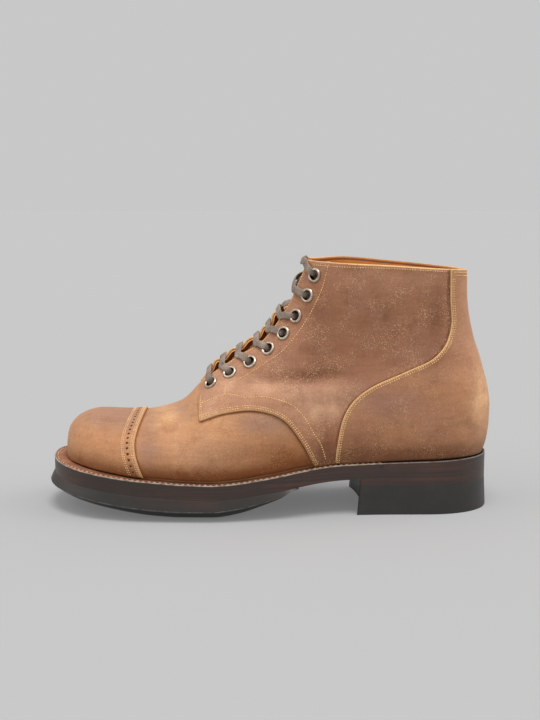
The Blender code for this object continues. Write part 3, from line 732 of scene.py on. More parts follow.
def panel_grid(mapping, raw, rows, columns):
    """Grid over a four-sided panel, and the distance of each point from the panel's cut edges.

    mapping turns shares along and across the panel into u and v; raw tells which of its edges
    (front, rear, top, foot) are cut edges that show."""
    fixed = np.linspace(0.0, 1.0, TABLE_LINES)
    s_table, s_gone, s_left = line_table(mapping, fixed, raw[0], raw[1], rows, True)
    t_table, t_gone, t_left = line_table(mapping, fixed, raw[2], raw[3], columns, False)
    t = np.repeat(np.linspace(0, 1, len(t_table))[None, :], len(s_table), 0)
    for _ in range(GRID_PASSES):
        s = look_up(s_table, fixed, t)
        t = look_up(t_table, fixed, s.T).T
    u, v = mapping(s, t)
    edge = np.full(u.shape, FAR_FROM_EDGE)
    away = [look_up(table, fixed, t) for table in (s_gone, s_left)]
    away += [look_up(table, fixed, s.T).T for table in (t_gone, t_left)]
    for is_raw, distance in zip(raw, away):
        if is_raw:
            edge = np.minimum(edge, distance)
    return u, v, np.maximum(edge, 0.0)


def shut_rim(joined):
    """Where a panel's outer and inner faces meet: its border, but for the lines that join two sides."""
    lines = (np.s_[0, :], np.s_[-1, :], np.s_[:, 0], np.s_[:, -1])
    shut = np.zeros(joined.shape, bool)
    for line in lines:
        free = ~joined[line]
        beside = np.append(free[1:], False) | np.append(False, free[:-1])
        shut[line] |= free | beside
    return shut


def off_line(points, line):
    """Distance of points from a line in side view, positive on its left, and SEAM_REACH at most."""
    spots = points[..., [0, 2]]
    nearest = np.full(spots.shape[:-1], SEAM_REACH)
    for start, end in zip(line[:-1], line[1:]):
        way, off = end - start, spots - start
        share = np.clip(off @ way / (way @ way), 0.0, 1.0)
        gap = np.linalg.norm(off - share[..., None] * way, axis=-1)
        left = way[0] * off[..., 1] - way[1] * off[..., 0]
        nearest = np.where(gap < np.abs(nearest), np.copysign(gap, left), nearest)
    return nearest


def leather_skin(name, grids, outer, inner, joined=sides_meet, covers=()):
    """Closed leather layer from one or more panel grids, between two heights over the last.

    covers are the edges, in side view, of the panels that lie over this one, which is on their left."""
    parts = []
    for u, v, edge in grids:
        top = np.broadcast_to(outer(u, v) if callable(outer) else outer, u.shape)
        low = np.broadcast_to(inner(u, v) if callable(inner) else inner, u.shape)
        shut = shut_rim(joined(u, v) & (u < LAST_ROW - TINY))
        shape = closing(EDGE_START + (1 - EDGE_START) * edge / EDGE_ROUND, EDGE_POWER)
        high = np.where(shut, low, blend(low, top, shape))
        points = over_last(u, v, high)
        rise = points[..., 2] - feather(points[..., 0])
        gap = np.min([np.full(u.shape, SEAM_REACH)] + [off_line(points, line) for line in covers], axis=0)
        marks = {"edge": np.minimum(edge, FAR_FROM_EDGE), "rise": rise, "gap": gap, **blotches(points)}
        across = np.cross(np.gradient(points, axis=1), np.gradient(points, axis=0))
        inward = (across * outward(u, v)).sum() < 0
        for level, flip in ((points, inward), (over_last(u, v, low), not inward)):
            part = add_grid(name, level, marks)
            if flip:
                in_edit_mode(part, flip_faces)
            parts.append(part)
    return close_up(join(parts, name))


Blotch = namedtuple("Blotch", "x z wide high amount")
# Tone by areas. The dark areas are partly the leather's tone and partly painted shade, as along the ankle
# crease's trough; the light ones are partly tone and partly painted highlights, as on the ridge below that
# crease and down the heel's back.
BLOTCHES = {
    "mauve": (
        Blotch(-108.0, 62.0, 20.0, 6.0, 1.0),
        Blotch(-79.0, 48.0, 8.0, 15.0, 1.0),
        Blotch(-62.0, 68.0, 12.0, 4.0, 0.4),
        Blotch(-2.0, 64.0, 16.0, 6.0, 0.8),
        Blotch(34.0, 82.0, 26.0, 7.0, 0.4),
        Blotch(77.0, 76.0, 22.0, 11.0, 1.0),
    ),
    "dark": (
        Blotch(-104.0, 50.0, 34.0, 24.0, 0.2),
        Blotch(-76.0, 50.0, 12.0, 18.0, 0.16),
        Blotch(10.0, 43.0, 24.0, 11.0, 0.65),
        Blotch(38.0, 44.0, 7.0, 13.0, 0.9),
        Blotch(58.0, 48.0, 14.0, 14.0, 0.5),
        Blotch(100.0, 44.0, 46.0, 9.0, 0.62),
        Blotch(-25.0, 30.0, 45.0, 6.0, 0.5),
        Blotch(76.0, 126.0, 40.0, 22.0, 0.45),
        Blotch(112.0, 134.0, 9.0, 26.0, 0.62),
        Blotch(34.0, 138.0, 12.0, 24.0, 0.5),
        Blotch(22.0, 93.5, 36.0, 5.0, 0.7),
        Blotch(40.0, 104.0, 26.0, 10.0, 0.35),
    ),
    "light": (
        Blotch(-126.0, 40.0, 16.0, 9.0, 0.15),
        Blotch(-70.0, 61.0, 11.0, 8.0, 0.7),
        Blotch(-52.0, 54.0, 16.0, 10.0, 0.2),
        Blotch(-24.0, 90.0, 20.0, 8.0, 0.6),
        Blotch(4.0, 84.0, 26.0, 6.0, 0.5),
        Blotch(-40.0, 72.0, 12.0, 9.0, 0.4),
        Blotch(32.0, 74.0, 20.0, 10.0, 1.0),
        Blotch(44.0, 82.0, 12.0, 8.0, 0.5),
        Blotch(84.0, 158.0, 40.0, 6.0, 0.25),
        Blotch(145.0, 74.0, 12.0, 24.0, 1.1),
    ),
}


def blotches(points):
    """Marks of the mauve, dark and light areas."""
    marks = {}
    for name, spots in BLOTCHES.items():
        total = np.zeros(points.shape[:-1])
        for spot in spots:
            off_x = (points[..., 0] - spot.x) / spot.wide
            off_z = (points[..., 2] - spot.z) / spot.high
            total += spot.amount * np.exp(-(off_x ** 2 + off_z ** 2))
        marks[name] = total
    return marks


PANEL_REACHES = np.linspace(0.0, 1.0, 121)
CAP_BETWEEN = (2.0, 6.5)    # rows of the fan between which the cap's seam lies
CAP_ROWS = row_at_seam(CAP_SEAM, PANEL_REACHES, *CAP_BETWEEN)
THROAT_TABLE_U = np.linspace(TAB_ROW - 0.12, LAST_ROW, 1200)
TAB_TABLE_U = np.linspace(TAB_ROW - 0.2, 9.0, 30)
TAB_REACHES = np.linspace(0.0, 0.3, 61)
THROAT_REACH = reach_at_seam(THROAT_EDGE, THROAT_TABLE_U, 0.0)
Scale = namedtuple("Scale", "u share")
MEDIAL_THROAT = (           # the inner facing reaches nearer to the ridge, but for its top
    Scale(7.0, 1.0),
    Scale(8.0, 0.62),
    Scale(12.0, 0.62),
    Scale(13.4, 0.8),
    Scale(14.8, 1.2),
    Scale(18.0, 1.2),
)


def throat_reach(u, side):
    """Reach of the facing's edge: the seam, or the gap between the tabs where that is wider."""
    points = upper_point(TAB_TABLE_U[:, None], TAB_REACHES[None, :] * side)
    off = np.abs(points[..., 1] - centre(points[..., 0]))
    tab = np.array([np.interp(TAB_HALF, row, TAB_REACHES) for row in off])
    edge = np.interp(u, THROAT_TABLE_U, THROAT_REACH)
    if side == MEDIAL:
        edge = edge * along(MEDIAL_THROAT, "u", "share", u)
    return np.maximum(edge, np.interp(u, TAB_TABLE_U, tab, right=0.0))


def evenly(u, reach):
    """A line on the last, as u and reach at even steps along it."""
    gone = distances(upper_point(u, reach))
    at = np.linspace(0.0, gone[-1], LINE_STEPS)
    return np.interp(at, gone, u), np.interp(at, gone, reach)


def seam_on_last(seam):
    """u and reach along a seam, from the feather edge or its first row up to the collar."""
    line = smooth_curve(seam)
    collar = blend(FINE_RIDGE[-1], FINE_FOOT[-1], np.linspace(0.0, 1.0, COLLAR_STEPS)[:, None])
    under = line[:, 1] < np.interp(line[:, 0], collar[:, 0], collar[:, 1]) - COLLAR_SLACK
    return locate(line[under & (line[:, 1] > feather(line[:, 0]) + FOOT_GAP + FEATHER_SLACK)])


def foot_line(start):
    """Along the feather edge from a row to the heel, and up the back to the collar."""
    u = np.linspace(start, LAST_ROW, FOOT_STEPS)
    return u, np.ones_like(u)


def between(top, low, side):
    """Mapping of the panel between two lines on the last."""
    shares = np.linspace(0.0, 1.0, len(top[0]))

    def mapping(s, t):
        ends = [[np.interp(s, shares, column) for column in line] for line in (top, low)]
        u = blend(ends[0][0], ends[1][0], t)
        return np.broadcast_arrays(u, side * blend(ends[0][1], ends[1][1], t))
    return mapping


def facing_wave(u, v):
    """How far the inner facing stands up beside its edge, between the places where the lace holds it."""
    number = np.interp(u, PRESSED, np.arange(len(PRESSED)))
    stand = WAVE_HEIGHT * (1 - np.cos(2 * math.pi * number)) / 2 * (number < LAST_WAVE)
    off = (v - np.interp(u, FACING_TABLE_U, MEDIAL_REACH)) / WAVE_REACH
    return stand * ease(1 - off) * ease(1 + off / WAVE_FOOT) * (v > 0)


def mirrored(grid):
    """A panel of the lateral side and its twin on the medial side, which meet point for point."""
    u, v, edge = grid
    return [grid, (u, -v, edge)]


def make_toe_cap():
    def mapping(s, t):
        return np.broadcast_arrays(s * np.interp(t, PANEL_REACHES, CAP_ROWS), LATERAL * t)
    grid = panel_grid(mapping, (False, True, False, False), rows=44, columns=60)
    return leather_skin("toe_cap_leather", mirrored(grid), CAP_OUT, CAP_IN)


QUARTER_LINE = seam_on_last(QUARTER_SEAM)
COUNTER_LINE = seam_on_last(COUNTER_SEAM)
QUARTER_ROWS = (            # rows of the fan along the throat's edge, by shares of the quarter's length
    Scale(7.14, 0.0),
    Scale(9.2, 0.16),
    Scale(11.3, 0.3),
    Scale(14.8, 0.65),
    Scale(18.0, 1.0),
)
BACK_STEP = 25.0            # from row to row of the fan, up the back
BACK_REACH = 0.93           # beyond it, a quarter's edge at the back lies under the counter
LINING_STEP_FROM, LINING_STEP_LONG = 14.0, 10.0     # where the lining steps out behind the vamp
LINING_THROAT = TAB_ROW + 0.3
TONGUE_FOOT = 0.8           # share of the tongue's width at its foot
TONGUE_WIDENS = 4           # rows of the fan over which it gets its full width


def make_vamp():
    rear = np.maximum(np.interp(PANEL_REACHES, QUARTER_LINE[1], QUARTER_LINE[0]), TAB_ROW) + VAMP_BEHIND

    def mapping(s, t):
        return np.broadcast_arrays(s * np.interp(t, PANEL_REACHES, rear), LATERAL * t)
    grid = panel_grid(mapping, (False, False, False, False), rows=80, columns=64)
    tab = np.vstack((smooth_curve(QUARTER_SEAM)[::-1], smooth_curve(TAB_FRONT)[::-1][1:]))
    return leather_skin("vamp_leather_piece", mirrored(grid), VAMP_OUT, VAMP_IN,
                        covers=(smooth_curve(CAP_SEAM), tab))


def make_quarter(side):
    """One quarter: from the throat's edge down to the vamp's seam, the feather edge and the back."""
    foot = foot_line(QUARTER_LINE[0][-1])
    low = evenly(*[np.concatenate(pair) for pair in zip(QUARTER_LINE, foot)])
    top_u = along(QUARTER_ROWS, "share", "u", np.linspace(0.0, 1.0, len(low[0])))
    mapping = between((top_u, throat_reach(top_u, side)), low, side)
    u, v, edge = panel_grid(mapping, (True, True, True, True), rows=130, columns=60)
    at_back = (np.abs(v) > BACK_REACH) & (u > HEEL_ROW)
    edge = np.where(at_back, (LAST_ROW - u) * BACK_STEP, edge)
    return leather_skin("quarter_leather_" + SIDES[side], [(u, v, edge)], QUARTER_OUT, QUARTER_IN,
                        sides_apart, (smooth_curve(COUNTER_SEAM),))


def make_counter():
    seam_u = np.append(COUNTER_LINE[0], LAST_ROW)
    seam_reach = np.append(COUNTER_LINE[1], reach_at_seam(COUNTER_SEAM, np.array([float(LAST_ROW)]), 1.0))
    seam_u, seam_reach = np.insert(seam_u, 0, seam_u[0]), np.insert(seam_reach, 0, 1.0)
    mapping = between(evenly(seam_u, seam_reach), evenly(*foot_line(seam_u[0])), LATERAL)
    grid = panel_grid(mapping, (False, True, True, False), rows=80, columns=44)
    return leather_skin("counter_leather_piece", mirrored(grid), COUNTER_OUT, COUNTER_IN)


def behind_quarter_seam(u, v):
    """0 under the vamp and 1 well behind the quarters' seam."""
    points = upper_point(u, v)
    line = smooth_curve(QUARTER_SEAM, 4)
    away = np.min(np.hypot(points[..., 0, None] - line[:, 0], points[..., 2, None] - line[:, 1]), axis=-1)
    seam = np.interp(np.abs(v), QUARTER_LINE[1], QUARTER_LINE[0])
    step = ease((away - LINING_STEP_FROM) / LINING_STEP_LONG)
    return np.where(u > np.maximum(seam, TAB_ROW), step, 0.0)


def lining_out(u, v):
    return blend(LINING_FRONT, LINING_SHAFT, behind_quarter_seam(u, v))


def lining_in(u, v):
    return lining_out(u, v) - LINING_THICK


def make_lining():
    """Lining of the whole upper, open at the throat along the edges of both facings."""
    def start(u, side):
        return np.where(u < LINING_THROAT, 0.0, throat_reach(u, side))

    def mapping(s, t):
        u = LAST_ROW * s
        return np.broadcast_arrays(u, LATERAL * blend(start(u, LATERAL), 1.0, t))

    u, v, edge = panel_grid(mapping, (False, True, True, False), rows=110, columns=60)
    near = start(u, LATERAL)
    across = (np.abs(v) - near) / (1 - near)
    grids = [(u, v, edge), (u, MEDIAL * blend(start(u, MEDIAL), 1.0, across), edge)]
    return leather_skin("lining", grids, lining_out, lining_in)


def make_tongue():
    def mapping(s, t):
        u = blend(TONGUE_START, TONGUE_END, s)
        half = TONGUE_HALF * blend(TONGUE_FOOT, 1.0, ease((u - TONGUE_START) / TONGUE_WIDENS))
        return np.broadcast_arrays(u, half * (2 * t - 1))
    grid = panel_grid(mapping, (False, True, True, True), rows=90, columns=36)
    return leather_skin("tongue_piece", [grid], TONGUE_OUT, TONGUE_IN, sides_apart)


# The sole

SOLE_STEPS = 120           # points along each layer
HALF_SOLE_STEPS = 90
HEEL_STEPS = 60
BREAST_STEPS = 24
STRIP_STEPS = 110
LIFT_TOP = LIFT_THICK + 0.23
STACK_BOTTOM = LIFT_THICK + 0.26
LIFT_FLARE = -1.0          # the heel's tread stands out by that much
Ring = namedtuple("Ring", "inset height spine", defaults=(False,))
EDGE_RINGS = (              # from a face round its edge; heights go into the layer
    Ring(SOLE_ROUND, 0.0),
    Ring(0.0, SOLE_ROUND),
    Ring(0.0, 3 * SOLE_ROUND),
)
MIDSOLE_RINGS = (Ring(30.0, 0.0, True), Ring(12.0, 0.0), *EDGE_RINGS)
INSOLE_UNDER = WELT_UNDER + 0.4
INSOLE_OVER_WELT = 0.12
INSOLE_LOW = 0.1 - WELT_THICK
INSOLE_RINGS = (            # in from the last, and over the feather edge
    Ring(12.0, INSOLE_RISE - 1.2, True),
    Ring(12.0, INSOLE_RISE - 0.8),
    Ring(0.8, INSOLE_RISE),
    Ring(0.2, INSOLE_RISE - 0.4),
    Ring(0.2, INSOLE_OVER_WELT),
    Ring(INSOLE_UNDER, INSOLE_OVER_WELT),
    Ring(INSOLE_UNDER, INSOLE_LOW),
    Ring(12.0, INSOLE_LOW, True),
)


def spread(count, round_start=True, round_end=True):
    """Shares from 0 to 1, closer together at an end where the outline closes."""
    t = np.linspace(0.0, 1.0, count + 1)
    if round_start and round_end:
        return (1 - np.cos(math.pi * t)) / 2
    if round_start:
        return 1 - np.cos(math.pi * t / 2)
    return np.sin(math.pi * t / 2)


def outline(inset, spine):
    """Closed ring of x and y round the whole sole, drawn in by `inset`, or on its middle line."""
    toe, heel = SOLE_TOE + inset, SOLE_HEEL - inset
    x = blend(toe, heel, spread(SOLE_STEPS))
    lateral, medial = sole_edges(x, inset, toe, heel)
    if spine:
        lateral = medial = centre(x)
    return np.concatenate((np.stack((x, lateral), -1), np.stack((x, medial), -1)[-2:0:-1]))


def midsole_top(x):
    return feather(x) - WELT_THICK - LAYER_GAP


def midsole_bottom(x):
    return feather(x) - WELT_THICK - FOOT_GAP - MIDSOLE_THICK


def make_midsole():
    rings = []
    for face, inward, steps in ((midsole_top, -1, MIDSOLE_RINGS), (midsole_bottom, 1, MIDSOLE_RINGS[::-1])):
        for step in steps:
            ring = outline(step.inset, step.spine)
            rings.append(np.column_stack((ring, face(ring[:, 0]) + inward * step.height)))
    return close_up(add_grid("midsole_layer", round_again(np.stack(rings))))


def make_insole():
    """Insole that fills the upper's foot and steps down inside the welt."""
    u = HEEL_ROW * spread(SOLE_STEPS)
    sides = [(upper_point(u, side), outward(u, side)) for side in SIDES]
    rings = []
    for step in INSOLE_RINGS:
        lateral, medial = (edge - out * step.inset for edge, out in sides)
        if step.spine:
            lateral = medial = (lateral + medial) / 2
        ring = np.concatenate((lateral, medial[-2:0:-1]))
        ring[:, 2] = feather(ring[:, 0]) + step.height
        rings.append(ring)
    return close_up(add_grid("insole_layer", round_again(np.stack(rings))))


def make_half_sole():
    """Rubber forefoot: its sides flare a little and its tread is rounded up to them."""
    Level = namedtuple("Level", "flare inset share rim under streak", defaults=(0.0, 0.0, 0.0))
    # rim marks a painted highlight along the lower edge of the side; under marks painted shade on the
    # shoulder and tread, which face the floor; streak marks where the red streaks run.
    levels = (
        Level(0.0, 10.0, 1.0, streak=1.0),
        Level(0.0, SOLE_ROUND, 1.0, streak=1.0),
        Level(0.01, 0.0, 0.99, streak=1.0),
        Level(0.04, 0.0, 0.96, streak=1.0),
        Level(0.6, 0.0, 0.45, streak=0.6),
        Level(0.95, 0.0, 0.09),
        Level(1.0, 0.0, 0.04, rim=0.8),
        Level(1.0, 0.15, 0.0, rim=1.0),
        Level(1.0, 0.6, -0.04, rim=0.2, under=0.6),
        Level(0.95, 1.4, -0.12, under=1.0),
        Level(0.85, 0.5 * TREAD_SHOULDER, -0.3, under=1.0),
        Level(0.6, TREAD_SHOULDER, -0.6, under=1.0),
        Level(0.3, 9.0, -0.85, under=1.0),
        Level(0.0, TREAD_FLAT, -1.0, under=1.0),
        Level(0.0, 26.0, -1.0, under=1.0),
    )
    sections = []
    for way in spread(HALF_SOLE_STEPS, round_end=False):
        sides = ([], [])
        for level in levels:
            toe = SOLE_TOE - TOE_FLARE * level.flare + level.inset
            x = blend(toe, HALF_SOLE_END, way)
            top = under_midsole(x)
            tread = along(PROFILE, "x", "tread", x)
            halfway = blend(tread, top, 0.5)
            side_z = min(tread + TREAD_RISE, halfway)
            z = blend(side_z, top if level.share >= 0 else tread, abs(level.share))
            edges = sole_edges(x, level.inset - SIDE_FLARE * level.flare, toe, OUTSIDE)
            for side in (0, 1):
                sides[side].append((x, edges[side], z))
        sections.append(sides[0] + sides[1][::-1])
    points = round_again(np.array(sections))
    points = np.concatenate((points, drawn_in(points[-1:])))
    marks = {}
    for key in ("rim", "under", "streak"):
        half = [getattr(level, key) for level in levels]
        marks[key] = np.tile(half + half[::-1] + half[:1], (len(points), 1))
    return close_up(add_grid("half_sole_rubber", points, marks))


def heel_ring(breast, inset):
    """Outline of the heel: both sides, the round back and the hollow breast."""
    xs = blend(breast + inset, SOLE_HEEL - inset, spread(HEEL_STEPS, round_start=False))
    lateral, medial = sole_edges(xs, inset, SOLE_TOE, SOLE_HEEL - inset)
    ring = list(zip(xs, lateral)) + list(zip(xs, medial))[-2::-1]
    for t in np.arange(1, BREAST_STEPS) / BREAST_STEPS:
        hollow = BREAST_HOLLOW * 4 * t * (1 - t)
        ring.append((breast + inset + hollow, blend(medial[0], lateral[0], t)))
    return np.array(ring)


def heel_block(name, bottom, top, breast_bottom, breast_top, flare=0.0):
    """Block between two faces, of which the lower one is drawn in by the flare, or stands out."""
    rings = []
    faces = ((top, breast_top, 0.0, -1, EDGE_RINGS), (bottom, breast_bottom, flare, 1, EDGE_RINGS[::-1]))
    for face, breast, inset, inward, steps in faces:
        for step in steps:
            ring = heel_ring(breast, inset + step.inset)
            rings.append(np.column_stack((ring, face(ring[:, 0]) + inward * step.height)))
    return wrapped(name, np.stack(rings))


def flat_at(height):
    """Height of a level face, for any x."""
    return lambda x: np.full_like(x, height)


def under_midsole(x):
    return midsole_bottom(x) - LAYER_GAP


def make_heel():
    lift = heel_block("heel_lift_rubber", flat_at(0.0), flat_at(LIFT_TOP),
                      HEEL_BREAST - BREAST_RAKE, HEEL_BREAST, LIFT_FLARE)
    stack = heel_block("heel_stack_leather", flat_at(STACK_BOTTOM), under_midsole, HEEL_BREAST, HEEL_BREAST)
    return lift, stack


Section = namedtuple("Section", "inset drop rim groove", defaults=(0.0, 0.0))
# rim marks where a painted highlight runs along the strip's outer top corner; groove marks the stitch
# channel.
WELT_TOP = (
    Section(4.2, 0.0),
    Section(3.0, 0.02),
    Section(2.6, 0.28, groove=0.7),
    Section(2.1, 0.42, groove=1.0),
    Section(1.6, 0.28, groove=0.7),
    Section(1.25, 0.02),
    Section(0.7, 0.0),
    Section(0.45, 0.03, rim=0.7),
    Section(0.15, 0.14, rim=1.0),
    Section(0.0, 0.45, rim=0.9),
    Section(0.0, 0.75),
    Section(0.0, 1.7),
    Section(0.0, WELT_THICK - 3 * SOLE_ROUND),
    Section(0.0, WELT_THICK - SOLE_ROUND),
    Section(SOLE_ROUND, WELT_THICK),
)


def welt_point(tip, far, way, inset, side):
    """x and y on the sole's plan, `inset` in from its edge, on the way from one end of the foot."""
    inward = math.copysign(1.0, far - tip)
    start = tip + inward * inset
    x = blend(start, far, way)
    toe, heel = (start, SOLE_HEEL) if inward > 0 else (SOLE_TOE, start)
    return x, sole_edges(x, inset, toe, heel)[0 if side == LATERAL else 1]


def round_the_tip(count):
    """Side and way of each section of a strip, from its lateral end round the tip to its medial end."""
    ways = spread(count, round_end=False)
    return [(LATERAL, way) for way in ways[::-1]] + [(MEDIAL, way) for way in ways[1:]]


def edge_strip(name, tip, far):
    """Strip round one end of the foot, from the sole's edge in under the upper's edge."""
    def parts(inner):
        return (Section(inner, 0.0), *WELT_TOP, Section(inner, WELT_THICK))

    rows = []
    for side, way in round_the_tip(STRIP_STEPS):
        section = []
        for part in parts(ledge(blend(tip, far, way)) + WELT_UNDER):
            x, y = welt_point(tip, far, way, part.inset, side)
            section.append((x, y, feather(x) - part.drop))
        rows.append(section)
    marks = {}
    for key in ("rim", "groove"):
        marks[key] = np.tile([getattr(part, key) for part in parts(0.0)], (len(rows), 1))
    return wrapped(name, np.array(rows, float), marks)


# Eyelets and lace

EYELET_SEAT = QUARTER_OUT + 0.05
BARREL_RADIUS, GRIME_AND_SHADE_RADIUS = 3.1, 3.42     # near black down the barrel, fading out by the rim's inner side: painted shade inside the hole, and dirt
EYELET_PROFILE = (          # radius and height of each ring, up the barrel and over the rim
    (BARREL_RADIUS, -3.3),
    (BARREL_RADIUS, 0.25),
    (3.2, 0.65),
    (3.5, 0.98),
    (3.95, 1.08),
    (4.4, 0.98),
    (4.75, 0.7),
    (4.93, 0.3),
    (4.95, 0.0),
    (4.7, -0.12),
    (3.35, -0.12),
    (3.35, -3.3),
)
EYELET_SIDES = 36
EYELET_NUMBERS = range(1, len(EYELETS) + 1)
HOLE_RADIUS = 3.3
HOLE_REACH = 6.0
HOLE_SIDES = 24

eyelet_u, eyelet_reach = locate(EYELETS)


def eyelet_spot(number, side):
    return eyelet_u[number - 1], eyelet_reach[number - 1] * side


def eyelet_place(number, side, height):
    return on_last(*eyelet_spot(number, side), height)


def stand_at(mesh, middle, out):
    """Moves a mesh from the origin to a place, with its Z axis in a direction."""
    turn = Vector(out).to_track_quat("Z", "X").to_matrix().to_4x4()
    mesh.transform(Matrix.Translation(Vector(middle) * MM) @ turn)


def draw_out():
    """Draws the selected circle out along the eyelet's profile, ring by ring, and bridges it shut."""
    radius, height = EYELET_PROFILE[0]
    bpy.ops.transform.translate(value=(0.0, 0.0, height * MM))
    for next_radius, next_height in EYELET_PROFILE[1:]:
        rise = (0.0, 0.0, (next_height - height) * MM)
        bpy.ops.mesh.extrude_edges_move(TRANSFORM_OT_translate={"value": rise})
        grow = next_radius / radius
        bpy.ops.transform.resize(value=(grow, grow, 1.0))
        radius, height = next_radius, next_height
    bpy.ops.mesh.select_all(action="DESELECT")
    bpy.ops.mesh.select_non_manifold()
    bpy.ops.mesh.bridge_edge_loops()
    bpy.ops.mesh.select_all(action="SELECT")
    bpy.ops.mesh.normals_make_consistent(inside=False)


def make_eyelets():
    """One eyelet, drawn out from a circle, and a copy with its own mesh for each hole."""
    deselect()
    bpy.ops.mesh.primitive_circle_add(vertices=EYELET_SIDES, radius=BARREL_RADIUS * MM)
    model = bpy.context.object
    in_edit_mode(model, draw_out)
    model.data.shade_smooth()
    places = corners(model)
    radius = np.hypot(places[:, 0], places[:, 1]) / MM
    # Near black down the barrel: painted shade inside the hole, and dirt.
    grime_and_shade = (GRIME_AND_SHADE_RADIUS - radius) / (GRIME_AND_SHADE_RADIUS - BARREL_RADIUS)
    add_mark(model, "grime_and_shade", np.clip(grime_and_shade, 0.0, 1.0))
    eyelets = []
    for side, word in SIDES.items():
        for number in EYELET_NUMBERS:
            copy = model.copy()
            copy.data = model.data.copy()
            copy.name = copy.data.name = f"eyelet_ring_{word}_{number}"
            link(copy)
            stand_at(copy.data, *eyelet_place(number, side, EYELET_SEAT))
            eyelets.append((copy, f"eyelet_{word}_{number}"))
    bpy.data.objects.remove(model)
    return eyelets


def pins(name, spots, radius, reach, sides):
    """Cutter of round pins, each through a spot along its own direction."""
    parts = []
    for middle, out in spots:
        deselect()
        bpy.ops.mesh.primitive_cylinder_add(vertices=sides, radius=radius * MM, depth=2 * reach * MM)
        stand_at(bpy.context.object.data, middle, out)
        parts.append(bpy.context.object)
    return join(parts, name)


def cut(piece, cutter):
    pick(piece)
    modifier = piece.modifiers.new("holes", "BOOLEAN")
    modifier.operation = "DIFFERENCE"
    modifier.solver = "EXACT"
    modifier.object = cutter
    bpy.ops.object.modifier_apply(modifier=modifier.name)


LACE_HALF_WIDTH = 2.5
LACE_HALF_THICK = 0.6
LACE_SIDES = 14
LACE_STEPS = 10
LACE_POWER = 0.8           # of its section's round: 1 is an ellipse, and less is fuller
LACE_LOOK = 8              # steps ahead and behind from which the tape takes its way
LACE_PASSES = 6
UNDER_FACING = -2.6
OVER_EYELET = EYELET_SEAT + 1.05 + LACE_HALF_THICK
OVER_EDGE = QUARTER_OUT + LACE_HALF_THICK + 0.1
Bar = namedtuple("Bar", "number lateral middle medial height")
BARS = (                    # rows of the fan by which a bar is off its eyelets, and its height in the middle
    Bar(1, 0.02, 0.10, 0.05, 2.5),
    Bar(2, -0.12, 0.03, -0.06, 2.5),
    Bar(3, -0.22, 0.0, -0.10, 2.5),
    Bar(4, -0.32, -0.02, -0.14, 2.5),
    Bar(5, -0.55, -0.14, -0.34, 2.4),
    Bar(6, -0.95, -0.52, -0.74, 2.2),
    Bar(8, 0.72, 0.74, 0.72, 0.6),
)
LEAVING = (                 # share of the way from an eyelet to the facing's edge, and the height there
    (0.1, -1.8),
    (0.14, 0.6),
    (0.25, OVER_EYELET - 0.8),
    (0.42, OVER_EYELET),
    (0.6, OVER_EYELET - 0.2),
    (0.82, OVER_EDGE + 0.15),
    (1.05, OVER_EDGE),
)

# Rows of the fan at which the lace holds the inner facing down
PRESSED = [eyelet_u[row.number - 1] + row.medial for row in BARS]
PRESSED.insert(6, eyelet_u[6])          # the seventh pair has a crossing instead of a bar
FACING_TABLE_U = np.linspace(TAB_ROW, LAST_ROW, 200)
MEDIAL_REACH = throat_reach(FACING_TABLE_U, MEDIAL)


def edge_share(number, side):
    """Share of an eyelet's reach at which the facing's edge lies."""
    u, v = eyelet_spot(number, side)
    return float(throat_reach(u, side) / abs(v))


def leaving(number, side, lean):
    """Out of an eyelet from inside, over its rim and the facing, to the facing's edge."""
    u, v = eyelet_spot(number, side)
    edge = edge_share(number, side)
    return [(u + lean * share, v * blend(1.0, edge, share), height) for share, height in LEAVING]


def bar(row, start):
    """Straight across outside, from one eyelet to the other of its pair."""
    stop = -start
    u = eyelet_spot(row.number, start)[0]
    middle = [(u + row.middle, 0.0, row.height)]
    lean = {LATERAL: row.lateral, MEDIAL: row.medial}
    return leaving(row.number, start, lean[start]) + middle + leaving(row.number, stop, lean[stop])[::-1]


def inside(first, start, last, stop, middle=UNDER_FACING - 1.0):
    """Under the facings, from one eyelet to a higher one."""
    (u0, v0), (u1, v1) = eyelet_spot(first, start), eyelet_spot(last, stop)
    heights = ((0.03, UNDER_FACING + 0.4), (0.15, UNDER_FACING - 0.8), (0.5, middle),
               (0.85, UNDER_FACING - 0.8), (0.97, UNDER_FACING + 0.4))
    return [(blend(u0, u1, t), blend(v0, v1, t), h) for t, h in heights]


def crossed(start, height):
    """From the last pair but one, over its own facing and the throat, in under the other facing."""
    out = leaving(7, start, lean=0.05)
    u0, (u1, v1) = out[-1][0], eyelet_spot(8, -start)
    edge = v1 * edge_share(8, -start)
    over = [(blend(u0, u1, 0.5), 0.0, height), (blend(u0, u1, 0.85), edge * 0.9, height - 1.6)]
    under = [(u1 - 0.1, blend(edge, v1, 0.4), UNDER_FACING), (u1, blend(edge, v1, 0.8), UNDER_FACING - 0.4)]
    return out + over + under


def lace_route():
    """The lace: two halves that go up from the lowest bar by turns, and cross below the highest."""
    bars = {row.number: row for row in BARS}
    near, far = LATERAL, MEDIAL
    one = (inside(1, near, 2, near) + bar(bars[2], near) + inside(2, far, 4, far) + bar(bars[4], far)
           + inside(4, near, 6, near) + bar(bars[6], near) + inside(6, far, 7, far)
           + crossed(far, height=-2.4) + bar(bars[8], near))
    two = (inside(1, far, 3, far) + bar(bars[3], far) + inside(3, near, 5, near) + bar(bars[5], near)
           + inside(5, far, 7, near, middle=0.4) + crossed(near, height=0.3))
    return two[::-1] + bar(bars[1], far) + one


